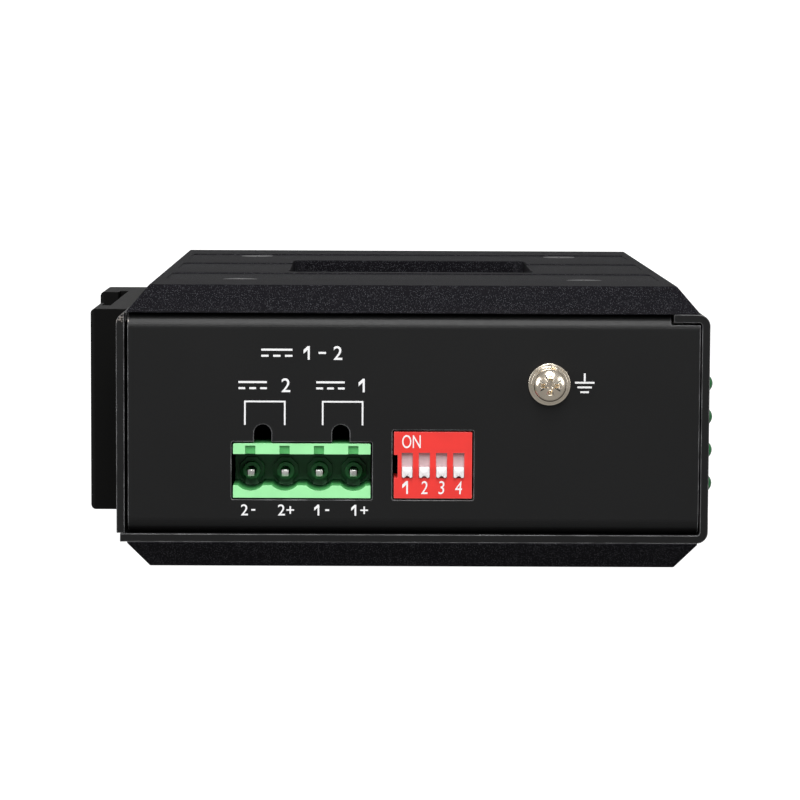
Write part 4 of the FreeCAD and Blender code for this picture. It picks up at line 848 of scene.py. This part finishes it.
@dataclass
class Press:
    """Screen printing on a face that looks up, read with +X at the top and -Y to the right."""

    face: float
    gap: float = 0.004
    thickness: float = 0.015
    cap_share: float = 0.69

    @property
    def level(self) -> float:
        """Z of the ink's underside, just clear of the face."""
        return self.face + self.gap * MM

    def bar(self, across: float, up: float, width: float, height: float, soft: float = 0.0) -> Piece:
        """Returns a flat bar.

        Args:
            across: Y of its middle, in metres.
            up: X of its middle, in metres.
            width: Size along Y, in millimetres.
            height: Size along X, in millimetres.
            soft: Corner radius, in millimetres.
        """
        bpy.ops.mesh.primitive_plane_add(size=1.0, location=(up, across, self.level))
        piece = bpy.context.active_object
        piece.scale = (height * MM, width * MM, 1.0)
        Bench.settle(piece)
        if soft:
            with Bench.editing():
                bpy.ops.mesh.bevel(offset=soft * MM, segments=3, affect="VERTICES")
        return piece

    def bracket(self, left: float, right: float, top: float, foot: float, line: float) -> Piece:
        """Returns a square bracket open at its foot.

        Args:
            left: Y of its left side, in metres.
            right: Y of its right side, in metres.
            top: X of its top, in metres.
            foot: X of its feet, in metres.
            line: Width of its line, in millimetres.
        """
        height = (top - foot) / MM + 2.0  # a frame, cut off at its foot below
        piece = self.bar((left + right) / 2, top - height * MM / 2, abs(left - right) / MM, height)
        with Bench.editing():
            bpy.ops.mesh.inset(thickness=line * MM)
            bpy.ops.mesh.delete(type="FACE")
            bpy.ops.mesh.select_all(action="SELECT")
            bpy.ops.mesh.bisect(plane_co=(foot, 0.0, 0.0), plane_no=(-1.0, 0.0, 0.0), clear_outer=True)
        return piece

    def mark(self, words: str, across: float, up: float, tall: float, squeeze: float = 1.0,
             weight: float = 0.0, slant: float = 0.0) -> Piece:
        """Returns one generic sign or number as a flat mesh.

        Args:
            words: The sign.
            across: Y of its middle, in metres.
            up: X of its middle, in metres.
            tall: Cap height, in millimetres.
            squeeze: Width against the plain letter's.
            weight: Extra line width, in millimetres.
            slant: Lean to the right, as a slope.
        """
        bpy.ops.object.text_add(location=(0.0, 0.0, 0.0))
        piece = bpy.context.active_object
        piece.data.body = words
        piece.data.size = tall * MM / self.cap_share
        piece.data.shear = slant
        piece.data.offset = weight * MM / 2
        piece.data.resolution_u = 6
        bpy.ops.object.convert(target="MESH")
        piece = bpy.context.active_object
        spans = zip(*(vertex.co for vertex in piece.data.vertices))
        middle = Vector([(min(span) + max(span)) / 2 for span in spans])
        turn = Matrix(((0.0, 1.0, 0.0), (-1.0, 0.0, 0.0), (0.0, 0.0, 1.0)))
        piece.data.transform(Matrix.Translation(-middle))
        piece.data.transform(Matrix.Diagonal((squeeze, 1.0, 1.0, 1.0)))
        piece.data.transform(turn.to_4x4())
        piece.data.transform(Matrix.Translation((up, across, self.level)))
        return piece

    def one(self, across: float, up: float, tall: float, line: float) -> Piece:
        """Returns the number one: a stem with a flag that slants down from its head.

        Args:
            across: Y of the stem's middle, in metres.
            up: X of its middle, in metres.
            tall: Its height, in millimetres.
            line: Width of its line, in millimetres.
        """
        flag = 0.28 * tall
        piece = self.bar(across, up - flag * MM / 2, line, tall - flag)
        head = up + (tall / 2 - flag - 0.01) * MM

        def at_head(edge: bpy.types.MeshEdge, side: float) -> bool:
            """Tells whether an edge lies at the head, to the left of a Y."""
            corners = [piece.data.vertices[corner].co for corner in edge.vertices]
            return all(corner.x > head and corner.y > side for corner in corners)

        with Bench.editing():
            bpy.ops.mesh.select_mode(type="EDGE")
            Bench.pick(piece, "edges", lambda edge: at_head(edge, -math.inf))
            bpy.ops.mesh.extrude_edges_move(TRANSFORM_OT_translate={"value": (flag * MM, 0.0, 0.0)})
            Bench.pick(piece, "edges", lambda edge: at_head(edge, across))
            bpy.ops.mesh.extrude_edges_move(TRANSFORM_OT_translate={"value": (-flag * MM, 1.1 * flag * MM, 0.0)})
        return piece

    def digit(self, number: int, across: float, up: float, tall: float, line: float,
              **shape: float) -> Piece:
        """Returns a number; line is for a one, and shape (squeeze, weight, slant) for any other."""
        return self.one(across, up, tall, line) if number == 1 else self.mark(str(number), across, up, tall, **shape)

    def pull(self, marks: List[Piece], name: str, ink: Ink, wardrobe: Wardrobe) -> None:
        """Joins marks into one print of real thickness."""
        sheet = Bench.join(marks)
        with Bench.editing():
            bpy.ops.mesh.remove_doubles(threshold=1e-6)
            bpy.ops.mesh.extrude_region_move(TRANSFORM_OT_translate={"value": (0.0, 0.0, self.thickness * MM)})
            bpy.ops.mesh.select_all(action="SELECT")
            bpy.ops.mesh.normals_make_consistent(inside=False)
        bpy.ops.object.shade_flat()
        Bench.finish(sheet, name, Body.HOUSING, ink.value, wardrobe.ink)


@dataclass
class PowerPrint:
    """Marks on the power end: supply brackets, plain numbers, polarity signs and the earth sign."""

    line: float = 0.24
    cap: float = 2.0
    stroke: float = 0.3
    weight: float = 0.04
    title_rise: float = 13.45
    title_bar: float = 4.6
    title_places: Tuple[float, ...] = (3.7, -1.0, -3.0, -5.3)
    hyphen: float = 1.1
    label_rise: float = 8.65
    label_bar: float = 4.2
    label_places: Tuple[float, ...] = (1.8, -3.1)
    bracket_half: float = 3.06
    bracket_top: float = 6.35
    bracket_foot: float = 2.75
    bracket_shifts: Tuple[float, ...] = (0.94, 0.38)
    small_cap: float = 1.62
    small_stroke: float = 0.25
    small_weight: float = 0.03
    sign_drop: float = 1.78
    sign_spread: float = 0.39
    sign_shift: float = -0.4
    sign_half: float = 0.65
    dash_pitch: float = 1.6
    dash_rise: float = 0.45
    dash_corner: float = 0.05
    earth_gap: float = 2.12
    earth_stem: Tuple[float, ...] = (1.03, 0.27, 1.2)
    earth_bars: Tuple[Tuple[float, float], ...] = ((0.25, 2.88), (-0.44, 2.14), (-1.15, 1.28))
    earth_stroke: float = 0.28

    def build(self, wardrobe: Wardrobe) -> None:
        """Prints the power end."""
        low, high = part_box("power_header")
        middle = (low.y + high.y) / 2
        pole = (high.y - low.y) / 4
        press = Press(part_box("cover_shell")[1].z)
        marks: List[Piece] = []
        for number, side in ((2, 1), (1, -1)):
            centre = middle + side * (pole + self.bracket_shifts[number - 1] * MM)
            marks += self._label(press, number, centre, high.x)
        marks += self._title(press, middle, high.x + self.title_rise * MM)
        foot = low.x - self.sign_drop * MM
        for place, number, sign in zip((1.5, 0.5, -0.5, -1.5), (2, 2, 1, 1), "-+-+"):
            centre = middle + place * (pole + self.sign_spread * MM) + self.sign_shift * MM
            marks.append(press.digit(number, centre + self.sign_half * MM, foot, self.small_cap, self.small_stroke,
                                     weight=self.small_weight))
            marks.append(press.mark(sign, centre - self.sign_half * MM, foot, self.small_cap,
                                    weight=self.small_weight))
        marks += self._earth(press)
        press.pull(marks, "power_end_print", Ink.PANEL, wardrobe)

    def _label(self, press: Press, number: int, centre: float, edge: float) -> List[Piece]:
        """Returns a bracket over two poles, from the header's upper edge, with the supply's sign and number."""
        half = self.bracket_half * MM
        rise = edge + self.label_rise * MM
        bracket = press.bracket(centre + half, centre - half, edge + self.bracket_top * MM,
                                edge + self.bracket_foot * MM, self.line)
        supply, digit = (centre + place * MM for place in self.label_places)
        return [bracket, *self._supply(press, supply, rise, self.label_bar),
                press.digit(number, digit, rise, self.cap, self.stroke, weight=self.weight)]

    def _title(self, press: Press, middle: float, rise: float) -> List[Piece]:
        """Returns the title: the supply's sign and the numbers 1-2."""
        supply, first, hyphen, second = (middle + place * MM for place in self.title_places)
        return [*self._supply(press, supply, rise, self.title_bar),
                press.digit(1, first, rise, self.cap, self.stroke),
                press.bar(hyphen, rise, self.hyphen, self.stroke),
                press.digit(2, second, rise, self.cap, self.stroke, weight=self.weight)]

    def _supply(self, press: Press, across: float, up: float, width: float) -> List[Piece]:
        """Returns the direct-current sign: a bar over three dashes."""
        rise = self.dash_rise * MM
        dash = width / (1 + 2 * self.dash_pitch)
        bars = [press.bar(across, up + rise, width, self.stroke, self.dash_corner)]
        for place in (-1, 0, 1):
            shift = place * dash * self.dash_pitch * MM
            bars.append(press.bar(across + shift, up - rise, dash, self.stroke, self.dash_corner))
        return bars

    def _earth(self, press: Press) -> List[Piece]:
        """Returns the earth sign beside the ground screw: a stem over three shrinking bars."""
        low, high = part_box("ground_flat_washer")
        across = low.y - self.earth_gap * MM
        centre = (low.x + high.x) / 2
        rise, width, height = self.earth_stem
        bars = [press.bar(across, centre + rise * MM, width, height, 0.03)]
        for rise, width in self.earth_bars:
            bars.append(press.bar(across, centre + rise * MM, width, self.earth_stroke, 0.06))
        return bars


@dataclass
class SwitchPrint:
    """Marks on the DIP switch: ON, and a number under each way."""

    cap: float = 1.93
    stroke: float = 0.25
    pitch: float = 2.54
    word_shift: float = 3.2
    word_drop: float = 1.45
    word_squeeze: float = 0.66
    digit_rise: float = 1.62
    digit_squeeze: float = 0.8
    digit_slant: float = 0.08

    def build(self, wardrobe: Wardrobe) -> None:
        """Prints the switch."""
        low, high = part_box("dip_body")
        middle = (low.y + high.y) / 2
        press = Press(high.z)
        marks = [press.mark("ON", middle + self.word_shift * MM, high.x - self.word_drop * MM, self.cap,
                            self.word_squeeze)]
        for place, number in zip((1.5, 0.5, -0.5, -1.5), (1, 2, 3, 4)):
            marks.append(press.digit(number, middle + place * self.pitch * MM, low.x + self.digit_rise * MM, self.cap,
                                     self.stroke, squeeze=self.digit_squeeze, slant=self.digit_slant))
        press.pull(marks, "switch_print", Ink.SWITCH, wardrobe)


@dataclass(frozen=True)
class Lamp:
    """A soft box: its middle, its width and height in metres, and its power in watts."""

    name: str
    place: Point
    size: Tuple[float, float]
    power: float

    def hang(self, target: Vector) -> None:
        """Adds the lamp, turned to a target."""
        data = bpy.data.lights.new(self.name, "AREA")
        data.shape = "RECTANGLE"
        data.size, data.size_y = self.size
        data.energy = self.power
        lamp = Bench.put(self.name, data)
        lamp.location = self.place
        lamp.rotation_mode = "QUATERNION"
        lamp.rotation_quaternion = (target - Vector(self.place)).to_track_quat("-Z", "Y")


@dataclass
class Studio:
    """Camera, floor, lamps and world."""

    eye: Point = (49.51, -42.27, 545.56)
    aim: Point = (4.23, -45.58, 57.0)
    roll: float = 0.273
    lens: float = 149.63
    sensor: float = 36.0
    clip: Tuple[float, float] = (0.01, 20.0)
    floor_size: float = 4.0
    floor_gap: float = 0.02
    floor_grey: float = 0.36
    floor_glow: float = 0.9
    floor_mirrored: float = 0.08
    world_level: float = 0.3
    lit: Point = (0.0, -0.045, 0.03)
    lamps: Tuple[Lamp, ...] = (
        Lamp("key_box", (0.75, -0.05, 0.75), (0.4, 0.9), 10.0),
        Lamp("front_fill", (0.25, -0.85, 0.5), (0.5, 0.5), 2.2),
        Lamp("rear_fill", (0.25, 0.75, 0.5), (0.5, 0.5), 3.0))

    def camera(self) -> None:
        """Sets the camera over the power end, with the right side plate at the top."""
        data = bpy.data.cameras.new("camera")
        data.lens = self.lens
        data.sensor_width = self.sensor
        data.clip_start, data.clip_end = self.clip
        camera = Bench.put("camera", data)
        eye = Vector(self.eye) * MM
        back = (eye - Vector(self.aim) * MM).normalized()
        right = Vector((1.0, 0.0, 0.0)).cross(back).normalized()
        up = back.cross(right)
        turn = Matrix((right, up, back)).transposed()
        camera.rotation_mode = "QUATERNION"
        camera.rotation_quaternion = (turn @ Matrix.Rotation(math.radians(self.roll), 3, "Z")).to_quaternion()
        camera.location = eye
        bpy.context.scene.camera = camera

    def floor(self) -> None:
        """Lays a pale floor under the lower end; it looks white from the camera and keeps the shadow."""
        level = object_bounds()[0].z - self.floor_gap * MM
        bpy.ops.mesh.primitive_plane_add(size=self.floor_size, location=(0.0, 0.0, level))
        plane = Bench.settle(bpy.context.active_object)
        plane.name = "studio_floor"
        material = bpy.data.materials.new("studio_floor")
        material.use_nodes = True
        graph = Graph(material.node_tree)
        grey = (self.floor_grey, self.floor_grey, self.floor_grey, 1.0)
        diffuse = graph.add("ShaderNodeBsdfDiffuse", {"Color": grey})
        rays = graph.add("ShaderNodeLightPath").outputs
        mirrored = graph.share(rays["Is Glossy Ray"], self.floor_mirrored)
        seen = graph.math("MAXIMUM", rays["Is Camera Ray"], mirrored)
        seen = graph.math("MAXIMUM", seen, rays["Is Transmission Ray"])
        glow = graph.add("ShaderNodeEmission", {"Color": WHITE, "Strength": graph.share(seen, self.floor_glow)})
        both = graph.add("ShaderNodeAddShader", {0: diffuse.outputs[0], 1: glow.outputs[0]})
        graph.add("ShaderNodeOutputMaterial", {"Surface": both.outputs[0]})
        plane.data.materials.append(material)
        plane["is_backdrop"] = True

    def light(self) -> None:
        """Sets the lamps and the world at a plain level."""
        for lamp in self.lamps:
            lamp.hang(Vector(self.lit))
        world = bpy.data.worlds.new("studio")
        bpy.context.scene.world = world
        world.use_nodes = True
        graph = Graph(world.node_tree)
        seen = graph.add("ShaderNodeLightPath").outputs["Is Camera Ray"]
        dim = graph.add("ShaderNodeBackground", {"Color": WHITE, "Strength": self.world_level})
        white = graph.add("ShaderNodeBackground", {"Color": WHITE, "Strength": 1.0})
        mixed = graph.add("ShaderNodeMixShader", {0: seen, 1: dim.outputs[0], 2: white.outputs[0]})
        graph.add("ShaderNodeOutputWorld", {"Surface": mixed.outputs[0]})
        bpy.context.scene.view_settings.view_transform = "Standard"


def main() -> None:
    """Builds the scene in order."""
    logging.basicConfig(level=logging.INFO, format="%(name)s: %(message)s")
    studio = Studio()
    studio.camera()
    wardrobe = Wardrobe()
    wardrobe.dress_nodes()
    Enclosure().build(wardrobe)
    Connectors().build(wardrobe)
    StatusLenses().build(wardrobe)
    PowerPrint().build(wardrobe)
    SwitchPrint().build(wardrobe)
    studio.floor()
    studio.light()


if __name__ == "__main__":
    main()
